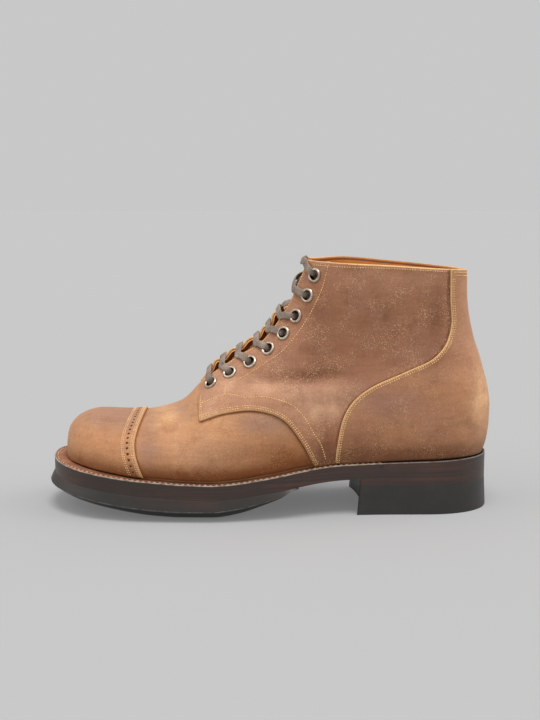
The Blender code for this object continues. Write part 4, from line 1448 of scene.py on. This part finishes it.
def make_lace():
    """Flat tape along the route; it turns its width across its way and its face off the last."""
    dense = smooth_curve(np.hstack(on_last(*np.array(lace_route()).T)), LACE_STEPS)
    path, out = dense[:, :3], unit(dense[:, 3:])
    ahead = path[np.minimum(np.arange(len(path)) + LACE_LOOK, len(path) - 1)]
    behind = path[np.maximum(np.arange(len(path)) - LACE_LOOK, 0)]
    way = unit(np.gradient(path, axis=0))
    wide = unit(np.cross(out, ahead - behind))
    for _ in range(LACE_PASSES):
        wide[1:-1] = unit(wide[:-2] + wide[1:-1] + wide[2:])
    wide = unit(wide - way * (wide * way).sum(1, keepdims=True))
    thick = unit(np.cross(way, wide))
    angle = np.linspace(0.0, 2 * math.pi, LACE_SIDES, endpoint=False)
    across = np.sign(np.cos(angle)) * np.abs(np.cos(angle)) ** LACE_POWER * LACE_HALF_WIDTH
    deep = np.sign(np.sin(angle)) * np.abs(np.sin(angle)) ** LACE_POWER * LACE_HALF_THICK
    rings = path[:, None] + wide[:, None] * across[:, None] + thick[:, None] * deep[:, None]
    marks = {"along": np.repeat(distances(path)[:, None], LACE_SIDES, 1),
             "across": np.repeat(across[None, :], len(path), 0)}
    return wrapped("lace", rings, marks)


# Stitching

STITCH_HALF, STITCH_TALL = 0.34, 0.28
STITCH_DIP = 0.9           # how far, in shares of its height, a stitch's ends go down
ROW_STEPS = 160
CAP_REACH = 0.97           # to which the rows on the cap go down each side
CAP_STITCHES = (1.0, 2.2, 7.7, 8.9)     # distances of the rows from the cap's seam
SEAM_STITCHES = (1.1, 2.3)              # from the seams of the quarters and the counter
COLLAR_STITCHES = (2.4, 4.4)            # below the collar: both on the counter, one on the quarters
COLLAR = (
    Seam(28.6, 168.5),
    Seam(59.5, 167.2),
    Seam(85.6, 165.9),
    Seam(105.8, 164.7),
    Seam(117.0, 163.7),
)
COLLAR_ROW_FROM = 31.0
TAB_STITCH_INSET = 2.0
TAB_STITCHED = slice(6, -4)             # points of the tab's front line that are sewn
THROAT_INSET = 1.3
THROAT_ROW_ENDS = (eyelet_u[1] - 0.4, LAST_ROW - 0.3)
OVER_SOLE = 1.0
COUNTER_ROW_TOP = 159.5
COUNTER_ROW_FROM = 120.5
COUNTER_TOP = Seam(117.0, 163.6)
COUNTER_TOP_FALL = 0.1
BACK_ROW_STEPS = 30
WELT_ROW_STEPS = 220
WELT_ROW_INSET, WELT_ROW_DROP = 2.1, 0.25
PERFORATION_RADIUS = 0.85
PERFORATION_REACH = 1.4
PERFORATION_SIDES = 12
PERFORATION_PITCH = 4.3
PERFORATION_INSET = 4.9                 # from the cap's seam
PERFORATION_END = 3.0                   # from the first and last hole to the end of their row


def stitch_model():
    """One stitch: a short rounded thread whose ends dip into their holes."""
    deselect()
    bpy.ops.mesh.primitive_uv_sphere_add(segments=8, ring_count=6, radius=1.0)
    model = bpy.context.object
    points = corners(model)[:, [2, 1, 0]]
    points[:, 0] *= -1
    faces = [tuple(face.vertices) for face in model.data.polygons]
    bpy.data.objects.remove(model)
    points[:, 2] -= STITCH_DIP * points[:, 0] ** 4
    return points, faces


def sew(name, rows, pitch, half=STITCH_HALF, tall=STITCH_TALL, fill=0.7):
    """Stitches along rows of points on the surface, as one joined mesh."""
    points, faces = stitch_model()
    meshes, polygons = [], []
    for path, outs in rows:
        gone = distances(path)
        count = max(1, int(round(gone[-1] / pitch)))
        for n in range(count):
            at = (n + 0.5) * gone[-1] / count
            length = fill * gone[-1] / count
            middle, out = at_distance(path, gone, at), at_distance(outs, gone, at)
            way = unit(at_distance(path, gone, at + pitch / 2) - at_distance(path, gone, at - pitch / 2))
            side = unit(np.cross(out, way))
            out = np.cross(way, side)
            base = len(meshes) * len(points)
            meshes.append(middle + points[:, :1] * way * length / 2 + points[:, 1:2] * side * half
                          + points[:, 2:] * out * tall)
            polygons += [tuple(base + i for i in face) for face in faces]
    mesh = bpy.data.meshes.new(name)
    mesh.from_pydata(np.vstack(meshes) * MM, [], polygons)
    piece = bpy.data.objects.new(name, mesh)
    link(piece)
    mesh.shade_smooth()
    if volume(piece) < 0:
        in_edit_mode(piece, flip_faces)
    return piece


def side_row(line, side, height):
    """Row of points on one side of the boot along a line in side view."""
    u, reach = locate(line)
    return on_last(u, reach * side, height)


def beside(line, distance):
    """A line in side view moved sideways, to its left where the distance is positive."""
    way = unit(np.gradient(line, axis=0))
    return line + np.stack((-way[:, 1], way[:, 0]), -1) * distance


def within(line, high=OUTSIDE):
    """The part of a line in side view that lies on the leather, over the sole and under a height."""
    return line[(line[:, 1] > feather(line[:, 0]) + OVER_SOLE) & (line[:, 1] < high)]


def cap_row(distance):
    """Row over the toe from one foot edge to the other, that far ahead of the cap's seam."""
    places = np.linspace(-CAP_REACH, CAP_REACH, ROW_STEPS)
    reach, side = np.abs(places), np.sign(places)
    u = np.interp(reach, PANEL_REACHES, CAP_ROWS)
    step = 0.02
    speed = np.linalg.norm(upper_point(u, reach) - upper_point(u - step, reach), axis=1) / step
    return on_last(u - distance / speed, reach * side, CAP_OUT)


def throat_row(side):
    """Row beside the facing's edge, from the second eyelet to the collar."""
    u = np.linspace(*THROAT_ROW_ENDS, ROW_STEPS)
    reach = throat_reach(u, side)
    step = 0.01
    run = upper_point(u, (reach + step) * side) - upper_point(u, reach * side)
    speed = np.linalg.norm(run, axis=1) / step
    return on_last(u, (reach + THROAT_INSET / speed) * side, QUARTER_OUT)


def quarter_lines():
    """Stitch lines of a quarter in side view, but for the one beside the throat."""
    lines = [within(beside(smooth_curve(QUARTER_SEAM), distance)) for distance in SEAM_STITCHES]
    lines += [smooth_curve(line) for line in (INNER_ROW, FACING_ROW, BAR_TACK)]
    lines.append(beside(smooth_curve(TAB_FRONT), TAB_STITCH_INSET)[TAB_STITCHED])
    collar = beside(smooth_curve(COLLAR), -COLLAR_STITCHES[0])
    lines.append(collar[collar[:, 0] > COLLAR_ROW_FROM])
    return lines


def counter_lines():
    """Stitch lines of the counter in side view: along its seam and under the collar."""
    seam = smooth_curve(COUNTER_SEAM)
    lines = [within(beside(seam, -distance), COUNTER_ROW_TOP) for distance in SEAM_STITCHES]
    back = BACK[-1].x
    x = back - (back - COUNTER_ROW_FROM) * np.linspace(1.0, 0.0, BACK_ROW_STEPS) ** 2
    for drop in COLLAR_STITCHES:
        lines.append(np.stack((x, COUNTER_TOP.z - drop - (x - COUNTER_TOP.x) * COUNTER_TOP_FALL), -1))
    return lines


def make_leather_stitches():
    cap = [cap_row(distance) for distance in CAP_STITCHES]
    quarter, counter = [], []
    for side in SIDES:
        quarter += [side_row(line, side, QUARTER_OUT) for line in quarter_lines()]
        quarter.append(throat_row(side))
        counter += [side_row(line, side, COUNTER_OUT) for line in counter_lines()]
    return (sew("stitches_cap", cap, pitch=1.6), sew("stitches_quarters", quarter, pitch=1.7),
            sew("stitches_counter", counter, pitch=1.6))


def make_welt_stitches():
    path = []
    for side, way in round_the_tip(WELT_ROW_STEPS):
        x, y = welt_point(SOLE_TOE, WELT_END, way, WELT_ROW_INSET, side)
        path.append((x, y, feather(x) - WELT_ROW_DROP))
    up = np.tile((0.0, 0.0, 1.0), (len(path), 1))
    return sew("stitches_welt", [(np.array(path, float), up)], pitch=3.7, half=0.5, tall=0.42, fill=0.66)


def perforations():
    """Places and directions of the punched holes, in one row between the cap's stitch rows."""
    path, outs = cap_row(PERFORATION_INSET)
    gone = distances(path)
    count = int(gone[-1] / PERFORATION_PITCH)
    places = np.linspace(PERFORATION_END, gone[-1] - PERFORATION_END, count)
    return [(at_distance(path, gone, at), at_distance(outs, gone, at)) for at in places]


# Materials

def set_inputs(tree, node, inputs):
    """Sets a node's inputs to values, or links them to sockets."""
    for key, value in inputs.items():
        if isinstance(value, bpy.types.NodeSocket):
            tree.links.new(value, node.inputs[key])
        else:
            node.inputs[key].default_value = value


def put(tree, kind, inputs=None, **settings):
    """Adds a node with its settings and inputs."""
    node = tree.nodes.new("ShaderNode" + kind)
    for key, value in settings.items():
        setattr(node, key, value)
    set_inputs(tree, node, inputs or {})
    return node


def add_group(tree, group, inputs):
    return put(tree, "Group", inputs, node_tree=group).outputs


def mix_colours(tree, a, b, share, kind="MIX"):
    return put(tree, "Mix", {0: share, 6: a, 7: b}, data_type="RGBA", blend_type=kind).outputs[2]


def math_node(tree, operation, a, b=0.0, clamp=False):
    return put(tree, "Math", {0: a, 1: b}, operation=operation, use_clamp=clamp).outputs[0]


def times(tree, first, *others):
    """Product of sockets and values."""
    for other in others:
        first = math_node(tree, "MULTIPLY", first, other)
    return first


def on_object(tree):
    return put(tree, "TexCoord").outputs["Object"]


def part_of(tree, vector, axis):
    return put(tree, "SeparateXYZ", {"Vector": vector}).outputs[axis]


def ramp_value(tree, value, low, high, out_low=0.0, out_high=1.0):
    """Turns values from low to high smoothly into others."""
    inputs = {"Value": value, "From Min": low, "From Max": high, "To Min": out_low, "To Max": out_high}
    return put(tree, "MapRange", inputs, interpolation_type="SMOOTHSTEP").outputs["Result"]


COLOURS = ("Color", "Tan", "Mauve", "Dark", "Light", "Fibre", "Raw", "Band", "Red", "Dust")


def new_group(name, inputs, outputs):
    """Empty node group; sockets whose names are in COLOURS are colours and the others values."""
    tree = bpy.data.node_groups.new(name, "ShaderNodeTree")
    for way, sockets in (("INPUT", inputs), ("OUTPUT", outputs)):
        for socket in sockets:
            kind = "NodeSocketColor" if socket in COLOURS else "NodeSocketFloat"
            tree.interface.new_socket(socket, in_out=way, socket_type=kind)
    return tree, tree.nodes.new("NodeGroupInput").outputs, tree.nodes.new("NodeGroupOutput")


def noise(tree, place, scale, detail=2.0, rough=0.5):
    node = put(tree, "TexNoise", {"Vector": place, "Scale": scale, "Detail": detail, "Roughness": rough})
    return node.outputs["Fac"]


def nap_group():
    """Waxed rough-out leather: mottled tan and mauve, dark pull-up, brushed streaks and pale fibres; the dark
    and light marks also bring in painted shade and painted highlights.
    """
    tree, given, out = new_group(
        "waxed_nap",
        ("Tan", "Mauve", "Dark", "Light", "Fibre", "Fibres", "Mauve Mark", "Dark Mark", "Light Mark"),
        ("Color", "Height", "Roughness"))
    place = on_object(tree)
    cloud = ramp_value(tree, noise(tree, place, 32.0, 4.0, 0.6), 0.4, 0.68, 0.0, 0.4)
    mauve = math_node(tree, "ADD", cloud, given["Mauve Mark"], clamp=True)
    colour = mix_colours(tree, given["Tan"], given["Mauve"], mauve)
    glow = ramp_value(tree, noise(tree, place, 48.0, 4.0, 0.6), 0.3, 0.75, 0.3, 1.3)
    light = math_node(tree, "MULTIPLY", glow, given["Light Mark"], clamp=True)
    colour = mix_colours(tree, colour, given["Light"], light)
    smoke = ramp_value(tree, noise(tree, place, 75.0, 6.0, 0.66), 0.46, 0.72, 0.0, 0.34)
    dark = math_node(tree, "ADD", smoke, given["Dark Mark"], clamp=True)
    colour = mix_colours(tree, colour, given["Dark"], dark)
    brushed = put(tree, "Mapping", {"Vector": place, "Scale": (60.0, 200.0, 420.0)}).outputs[0]
    streaks = ramp_value(tree, noise(tree, brushed, 1.0, 4.0, 0.6), 0.3, 0.7, 0.94, 1.06)
    nap = noise(tree, place, 700.0, 4.0, 0.7)
    shade = times(tree, streaks, ramp_value(tree, nap, 0.3, 0.7, 0.9, 1.08))
    grey = put(tree, "CombineColor", {"Red": shade, "Green": shade, "Blue": shade}).outputs[0]
    colour = mix_colours(tree, colour, grey, 1.0, "MULTIPLY")
    flecks = ramp_value(tree, noise(tree, place, 1350.0, 2.0, 0.6), 0.52, 0.66)
    where = ramp_value(tree, noise(tree, place, 70.0, 4.0, 0.6), 0.38, 0.64, 0.1, 1.2)
    coarse = noise(tree, place, 210.0, 3.0)
    set_inputs(tree, out, {
        "Color": mix_colours(tree, colour, given["Fibre"], times(tree, flecks, where, given["Fibres"])),
        "Height": math_node(tree, "ADD", nap, times(tree, coarse, 0.8)),
        "Roughness": ramp_value(tree, coarse, 0.3, 0.7, 0.74, 0.58)})
    return tree


def edge_group():
    """Pale raw edges with a worn band beside them."""
    tree, given, out = new_group("raw_edge", ("Color", "Raw", "Band", "Edge"), ("Color",))
    ragged = ramp_value(tree, noise(tree, on_object(tree), 700.0, 3.0), 0.3, 0.7, -0.2, 0.2)
    distance = math_node(tree, "ADD", given["Edge"], ragged)
    band = ramp_value(tree, distance, 0.8, 3.0, 0.16, 0.0)
    raw = ramp_value(tree, distance, 0.3, 0.75, 0.95, 0.0)
    colour = mix_colours(tree, given["Color"], given["Band"], band)
    set_inputs(tree, out, {"Color": mix_colours(tree, colour, given["Raw"], raw)})
    return tree


def streak_group():
    """Dark finished sole edge: long streaks of red-brown in black, along the foot."""
    tree, given, out = new_group("edge_streaks", ("Dark", "Red", "Amount"), ("Color", "Height"))
    place = on_object(tree)
    long = put(tree, "Mapping", {"Vector": place, "Scale": (9.0, 9.0, 520.0)}).outputs[0]
    streaks = noise(tree, long, 1.0, 4.0, 0.6)
    patches = ramp_value(tree, noise(tree, place, 28.0, 3.0), 0.3, 0.6)
    share = times(tree, ramp_value(tree, streaks, 0.36, 0.66), patches, given["Amount"])
    set_inputs(tree, out, {"Color": mix_colours(tree, given["Dark"], given["Red"], share), "Height": streaks})
    return tree


def scuff_group():
    """Light dust and rubbed marks."""
    tree, given, out = new_group("dust", ("Color", "Dust", "Amount"), ("Color", "Height"))
    place = on_object(tree)
    soft = ramp_value(tree, noise(tree, place, 45.0, 5.0, 0.65), 0.45, 0.8)
    fine = noise(tree, place, 900.0, 3.0)
    share = times(tree, soft, fine, given["Amount"])
    set_inputs(tree, out, {"Color": mix_colours(tree, given["Color"], given["Dust"], share), "Height": fine})
    return tree


def new_material(name):
    material = bpy.data.materials.new(name)
    material.use_nodes = True
    tree = material.node_tree
    return material, tree, tree.nodes["Principled BSDF"]


def bump(tree, height, distance, strength):
    inputs = {"Height": height, "Distance": distance * MM, "Strength": strength}
    return put(tree, "Bump", inputs).outputs["Normal"]


def mark(tree, name):
    return put(tree, "Attribute", attribute_name=name).outputs["Fac"]


def rgb(red, green, blue):
    return (red, green, blue, 1.0)


RAW_EDGE = rgb(0.74, 0.45, 0.21)
# light is the colour that the light marks bring in, partly tone and partly painted highlights; dark is the
# pull-up colour that the dark marks bring in, painted shade among them; low is how much darker the leather
# gets just above the sole, burnish and painted shade.
Leather = namedtuple("Leather", "tan mauve dark light fibre raw fibres low")
LEATHERS = {
    "vamp_leather": Leather(rgb(0.485, 0.226, 0.1), rgb(0.35, 0.185, 0.117), rgb(0.25, 0.077, 0.017),
                            rgb(0.75, 0.44, 0.222), rgb(0.72, 0.46, 0.24), rgb(0.60, 0.335, 0.155),
                            0.24, 0.75),
    "quarter_leather": Leather(rgb(0.39, 0.173, 0.09), rgb(0.335, 0.163, 0.11), rgb(0.20, 0.071, 0.031),
                               rgb(0.67, 0.38, 0.228), rgb(0.60, 0.37, 0.21), RAW_EDGE, 0.75, 0.5),
    "counter_leather": Leather(rgb(0.435, 0.196, 0.094), rgb(0.365, 0.176, 0.112), rgb(0.20, 0.072, 0.028),
                               rgb(0.66, 0.365, 0.185), rgb(0.62, 0.39, 0.21), RAW_EDGE, 0.46, 0.7),
    # The tongue's colours are kept dark as painted shade, for the tongue lies down in the throat.
    "tongue_leather": Leather(rgb(0.22, 0.08, 0.03), rgb(0.18, 0.07, 0.035), rgb(0.1, 0.035, 0.015),
                              rgb(0.3, 0.12, 0.05), rgb(0.4, 0.2, 0.09), RAW_EDGE, 0.4, 0.0),
}
WORN_BAND = rgb(0.60, 0.32, 0.12)
SHEEN_TINT = rgb(1.0, 0.75, 0.5)
BURNISH_AND_SHADE_RISE = 15.0         # the leather is darker up to there above the sole: burnish and painted shade
GRIME_AND_SHADE_WIDE, GRIME_AND_SHADE_DEEP = 2.0, 0.8       # dirt and painted shade beside the edge of a panel on top
SOLE_DARK = rgb(0.034, 0.0215, 0.0165)
SOLE_RED = rgb(0.088, 0.032, 0.022)


def leather_material(name, groups):
    leather = LEATHERS[name]
    material, tree, shader = new_material(name)
    # Darker just above the sole: burnish and painted shade.
    burnish_and_shade = ramp_value(tree, mark(tree, "rise"), 0.0, BURNISH_AND_SHADE_RISE, leather.low, 0.0)
    # Darker beside the edge of a panel on top: dirt and painted shade.
    grime_and_shade = ramp_value(tree, mark(tree, "gap"), 0.0, GRIME_AND_SHADE_WIDE, GRIME_AND_SHADE_DEEP, 0.0)
    dark = math_node(tree, "ADD", math_node(tree, "ADD", burnish_and_shade, grime_and_shade), mark(tree, "dark"))
    # The dark and light marks bring in painted shade and painted highlights along with the leather's tone.
    nap = add_group(tree, groups["nap"], {
        "Tan": leather.tan, "Mauve": leather.mauve, "Dark": leather.dark, "Light": leather.light,
        "Fibre": leather.fibre, "Fibres": leather.fibres, "Mauve Mark": mark(tree, "mauve"),
        "Dark Mark": dark, "Light Mark": mark(tree, "light")})
    worn = add_group(tree, groups["edge"], {
        "Color": nap["Color"], "Raw": leather.raw, "Band": WORN_BAND, "Edge": mark(tree, "edge")})
    set_inputs(tree, shader, {
        "Base Color": worn["Color"], "Roughness": nap["Roughness"], "Specular IOR Level": 0.35,
        "Sheen Weight": 0.12, "Sheen Roughness": 0.5, "Sheen Tint": SHEEN_TINT,
        "Normal": bump(tree, nap["Height"], 0.25, 0.5)})
    return material


def smooth_leather_material(name, colour, deep, roughness):
    material, tree, shader = new_material(name)
    place = on_object(tree)
    cloud = ramp_value(tree, noise(tree, place, 60.0, 4.0, 0.6), 0.35, 0.7)
    pores = put(tree, "TexVoronoi", {"Vector": place, "Scale": 900.0}).outputs["Distance"]
    set_inputs(tree, shader, {
        "Base Color": mix_colours(tree, colour, deep, cloud),
        "Roughness": ramp_value(tree, cloud, 0.0, 1.0, roughness, roughness + 0.12),
        "Normal": bump(tree, pores, 0.1, 0.25)})
    return material


def lining_material(groups):
    """Russet leather with a pale cut edge, and a dark line a little below the edge."""
    russet, deep = rgb(0.74, 0.27, 0.06), rgb(0.58, 0.18, 0.035)
    material = smooth_leather_material("lining_leather", russet, deep, 0.45)
    tree = material.node_tree
    shader = tree.nodes["Principled BSDF"]
    plain = shader.inputs["Base Color"].links[0].from_socket
    edge = mark(tree, "edge")
    line = times(tree, ramp_value(tree, edge, 0.9, 1.3), ramp_value(tree, edge, 2.0, 2.6, 0.9, 0.0))
    dark_lined = mix_colours(tree, plain, rgb(0.16, 0.04, 0.012), line)
    worn = add_group(tree, groups["edge"], {
        "Color": dark_lined, "Raw": rgb(0.92, 0.46, 0.17), "Band": rgb(0.85, 0.36, 0.09), "Edge": edge})
    set_inputs(tree, shader, {"Base Color": worn["Color"]})
    return material


def with_rim_highlight(tree, colour, pale, share):
    """Colour with a broken pale line along the rim: a painted highlight where the edge catches the light."""
    broken = ramp_value(tree, noise(tree, on_object(tree), 260.0, 4.0, 0.6), 0.32, 0.62, 0.2, 1.0)
    return mix_colours(tree, colour, pale, times(tree, mark(tree, "rim"), broken, share))


def welt_material(groups):
    """Tan worn top with a dark groove for the stitches, a painted highlight along the rim and a dark waxed
    edge.
    """
    material, tree, shader = new_material("welt_leather")
    streaks = add_group(tree, groups["streak"], {"Dark": SOLE_DARK, "Red": SOLE_RED, "Amount": 0.35})
    place = on_object(tree)
    cloud = ramp_value(tree, noise(tree, place, 90.0, 5.0, 0.65), 0.35, 0.7)
    toe = mix_colours(tree, rgb(0.36, 0.145, 0.066), rgb(0.20, 0.07, 0.03), cloud)
    rear = mix_colours(tree, rgb(0.16, 0.055, 0.023), rgb(0.085, 0.026, 0.011), cloud)
    top = mix_colours(tree, toe, rear, ramp_value(tree, part_of(tree, place, "X"), -0.15, -0.06))
    top = mix_colours(tree, top, rgb(0.05, 0.018, 0.01), mark(tree, "groove"))
    up = part_of(tree, put(tree, "NewGeometry").outputs["Normal"], "Z")
    facing = ramp_value(tree, up, 0.5, 0.9)
    colour = mix_colours(tree, streaks["Color"], top, facing)
    set_inputs(tree, shader, {
        "Base Color": with_rim_highlight(tree, colour, rgb(0.46, 0.38, 0.28), 0.8),
        "Roughness": ramp_value(tree, facing, 0.0, 1.0, 0.42, 0.62),
        "Normal": bump(tree, streaks["Height"], 0.12, 0.25)})
    return material


def sole_leather_material(groups):
    """Dark waxed edge of midsole, heel rand and heel stack."""
    material, tree, shader = new_material("sole_leather")
    streaks = add_group(tree, groups["streak"], {"Dark": SOLE_DARK, "Red": SOLE_RED, "Amount": 0.75})
    dusty = add_group(tree, groups["dust"], {
        "Color": streaks["Color"], "Dust": rgb(0.2, 0.16, 0.14), "Amount": 0.1})
    # The heel rand's rim gets a painted highlight.
    set_inputs(tree, shader, {
        "Base Color": with_rim_highlight(tree, dusty["Color"], rgb(0.3, 0.26, 0.21), 0.5), "Roughness": 0.42,
        "Normal": bump(tree, streaks["Height"], 0.12, 0.25)})
    return material


def rubber_material(groups):
    material, tree, shader = new_material("sole_rubber")
    streaks = add_group(tree, groups["streak"], {
        "Dark": rgb(0.0235, 0.021, 0.018), "Red": rgb(0.068, 0.03, 0.022), "Amount": mark(tree, "streak")})
    dusty = add_group(tree, groups["dust"], {
        "Color": streaks["Color"], "Dust": rgb(0.17, 0.155, 0.135), "Amount": 0.15})
    # Near black where the rubber faces the floor: painted shade.
    lower = mix_colours(tree, dusty["Color"], rgb(0.008, 0.008, 0.008), mark(tree, "under"))
    # A pale line along the side's lower edge: painted highlight.
    set_inputs(tree, shader, {
        "Base Color": with_rim_highlight(tree, lower, rgb(0.3, 0.28, 0.25), 0.6), "Roughness": 0.48,
        "Normal": bump(tree, dusty["Height"], 0.06, 0.3)})
    return material


def eyelet_material():
    material, tree, shader = new_material("eyelet_metal")
    worn = ramp_value(tree, noise(tree, on_object(tree), 420.0, 3.0), 0.4, 0.65)
    nickel = mix_colours(tree, rgb(0.62, 0.52, 0.42), rgb(0.40, 0.31, 0.23), worn)
    # The barrel goes near black: painted shade inside the hole, and dirt.
    set_inputs(tree, shader, {
        "Base Color": mix_colours(tree, nickel, rgb(0.035, 0.025, 0.018), mark(tree, "grime_and_shade")),
        "Metallic": 1.0, "Roughness": ramp_value(tree, worn, 0.0, 1.0, 0.3, 0.5)})
    return material


def lace_material():
    """Waxed braid: two sets of diagonal yarns that follow the tape."""
    material, tree, shader = new_material("lace_cotton")
    length = times(tree, mark(tree, "along"), 3.2)
    width = times(tree, mark(tree, "across"), 3.6)
    one = math_node(tree, "SINE", math_node(tree, "ADD", length, width))
    two = math_node(tree, "SINE", math_node(tree, "SUBTRACT", length, width))
    yarn = math_node(tree, "MAXIMUM", one, two)
    wax = ramp_value(tree, noise(tree, on_object(tree), 130.0, 4.0), 0.35, 0.7)
    colour = mix_colours(tree, rgb(0.22, 0.157, 0.117), rgb(0.37, 0.285, 0.225), wax)
    # Darker between the yarns: painted shade.
    deep = ramp_value(tree, yarn, -0.2, 0.7, 0.4, 0.0)
    set_inputs(tree, shader, {
        "Base Color": mix_colours(tree, colour, rgb(0.1, 0.07, 0.05), deep), "Roughness": 0.5,
        "Normal": bump(tree, yarn, 0.15, 0.6)})
    return material


def thread_material(name, light, deep):
    material, tree, shader = new_material(name)
    place = on_object(tree)
    cloud = ramp_value(tree, noise(tree, place, 350.0, 3.0), 0.3, 0.65)
    set_inputs(tree, shader, {
        "Base Color": mix_colours(tree, deep, light, cloud), "Roughness": 0.6,
        "Normal": bump(tree, noise(tree, place, 2200.0, 1.0), 0.1, 0.4)})
    return material


def floor_material():
    material, tree, shader = new_material("studio_floor")
    set_inputs(tree, shader, {
        "Base Color": rgb(FLOOR_ALBEDO, FLOOR_ALBEDO, FLOOR_ALBEDO), "Roughness": 1.0,
        "Specular IOR Level": 0.0, "Emission Color": rgb(1.0, 1.0, 1.0), "Emission Strength": FLOOR_GLOW})
    return material


# Studio

BACKDROP = 0.578           # the pale grey behind and under the boot, in linear light
FLOOR_ALBEDO = 0.294
FLOOR_GLOW = 0.138         # the table is lit from below too, so that shadows stay weak
FLOOR_HALF = 40.0
DOME_LOW, DOME_HIGH = 0.3, 0.68
Lamp = namedtuple("Lamp", "name turn tilt strength angle")
LAMPS = (
    Lamp("overhead", 10.0, 15.0, 2.0, 30.0),
    Lamp("from_toe", -80.0, 55.0, 0.62, 60.0),
    Lamp("from_heel", 100.0, 62.0, 1.08, 50.0),
    Lamp("from_front", 0.0, 70.0, 0.25, 60.0),
)
CAMERA_PLACE = (0.9, -732.6, 205.6)
CAMERA_AIM_Z = 99.6
CAMERA_LENS = 53.48


def make_stage():
    deselect()
    bpy.ops.mesh.primitive_plane_add(size=2 * FLOOR_HALF)
    floor = bpy.context.object
    floor.name = "floor"
    floor.data.materials.append(floor_material())
    world = bpy.data.worlds.new("studio")
    world.use_nodes = True
    bpy.context.scene.world = world
    tree = world.node_tree
    background = tree.nodes["Background"]
    up = part_of(tree, put(tree, "TexCoord").outputs["Generated"], "Z")
    dome = ramp_value(tree, up, -0.1, 0.9, DOME_LOW, DOME_HIGH)
    seen = put(tree, "LightPath").outputs["Is Camera Ray"]
    set_inputs(tree, background, {"Color": put(tree, "Mix", {0: seen, 2: dome, 3: BACKDROP}).outputs[0]})
    for lamp in LAMPS:
        light = bpy.data.lights.new(lamp.name, "SUN")
        light.energy = lamp.strength
        light.angle = math.radians(lamp.angle)
        item = bpy.data.objects.new(lamp.name, light)
        item.rotation_euler = (math.radians(lamp.tilt), 0.0, math.radians(lamp.turn))
        link(item)
    bpy.context.scene.view_settings.view_transform = "Standard"


def make_camera():
    camera = bpy.data.cameras.new("camera")
    camera.lens = CAMERA_LENS
    item = bpy.data.objects.new("camera", camera)
    item.location = Vector(CAMERA_PLACE) * MM
    pitch = math.atan2(CAMERA_PLACE[2] - CAMERA_AIM_Z, -CAMERA_PLACE[1])
    item.rotation_euler = (math.pi / 2 - pitch, 0.0, 0.0)
    link(item)
    bpy.context.scene.camera = item


def dress(piece, material, slot, *nodes):
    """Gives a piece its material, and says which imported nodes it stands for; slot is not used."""
    piece.data.materials.clear()
    piece.data.materials.append(material)
    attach(piece, "root")
    if nodes:
        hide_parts(*nodes)


def main():
    make_camera()
    make_stage()
    groups = {"nap": nap_group(), "edge": edge_group(), "streak": streak_group(), "dust": scuff_group()}
    vamp_leather = leather_material("vamp_leather", groups)
    quarter_leather = leather_material("quarter_leather", groups)
    counter_leather = leather_material("counter_leather", groups)
    tongue_leather = leather_material("tongue_leather", groups)
    lining_leather = lining_material(groups)
    insole_leather = smooth_leather_material(
        "insole_leather", rgb(0.5, 0.26, 0.11), rgb(0.36, 0.17, 0.07), 0.55)
    welt_leather = welt_material(groups)
    sole_leather = sole_leather_material(groups)
    rubber = rubber_material(groups)
    metal = eyelet_material()
    gold = thread_material("stitch_thread", rgb(0.92, 0.60, 0.25), rgb(0.60, 0.34, 0.12))
    beige = thread_material("cap_thread", rgb(0.84, 0.56, 0.31), rgb(0.58, 0.34, 0.17))
    pale = thread_material("welt_thread", rgb(0.58, 0.42, 0.30), rgb(0.38, 0.24, 0.15))

    lining = make_lining()
    vamp = make_vamp()
    cap = make_toe_cap()
    quarters = {side: make_quarter(side) for side in SIDES}
    counter = make_counter()
    tongue = make_tongue()
    for side, quarter in quarters.items():
        spots = [eyelet_place(number, side, 0.0) for number in EYELET_NUMBERS]
        cutter = pins("eyelet_holes", spots, HOLE_RADIUS, HOLE_REACH, HOLE_SIDES)
        cut(quarter, cutter)
        cut(lining, cutter)
        bpy.data.objects.remove(cutter)
    punch = pins("perforation_pins", perforations(), PERFORATION_RADIUS, PERFORATION_REACH, PERFORATION_SIDES)
    cut(cap, punch)
    bpy.data.objects.remove(punch)

    dress(lining, lining_leather, "lining_leather", "upper")
    dress(vamp, vamp_leather, "vamp_leather", "upper")
    dress(cap, vamp_leather, "vamp_leather", "toe_cap")
    for side, word in SIDES.items():
        dress(quarters[side], quarter_leather, "quarter_leather", "quarter_" + word)
    dress(counter, counter_leather, "counter_leather", "heel_counter")
    dress(tongue, tongue_leather, "tongue_leather", "tongue")

    welt = edge_strip("welt_strip", SOLE_TOE, WELT_END)
    rand = edge_strip("heel_rand_strip", SOLE_HEEL, WELT_END + LAYER_GAP)
    dress(welt, welt_leather, "welt_leather", "welt")
    dress(rand, sole_leather, "sole_leather", "heel_rand")
    dress(make_midsole(), sole_leather, "sole_leather", "midsole")
    dress(make_insole(), insole_leather, "insole_leather", "insole")
    dress(make_half_sole(), rubber, "sole_rubber", "half_sole")
    lift, stack = make_heel()
    dress(lift, rubber, "sole_rubber", "heel_lift")
    dress(stack, sole_leather, "sole_leather", "heel_stack")

    for eyelet, node in make_eyelets():
        dress(eyelet, metal, "eyelet_metal", node)
    bars = [f"lace_bar_{row.number}" for row in BARS]
    dress(make_lace(), lace_material(), "lace_cotton", *bars, "lace_cross_7")
    for stitches, thread in zip(make_leather_stitches(), (beige, gold, gold)):
        dress(stitches, thread, "stitch_thread")
    dress(make_welt_stitches(), pale, "stitch_thread")


main()
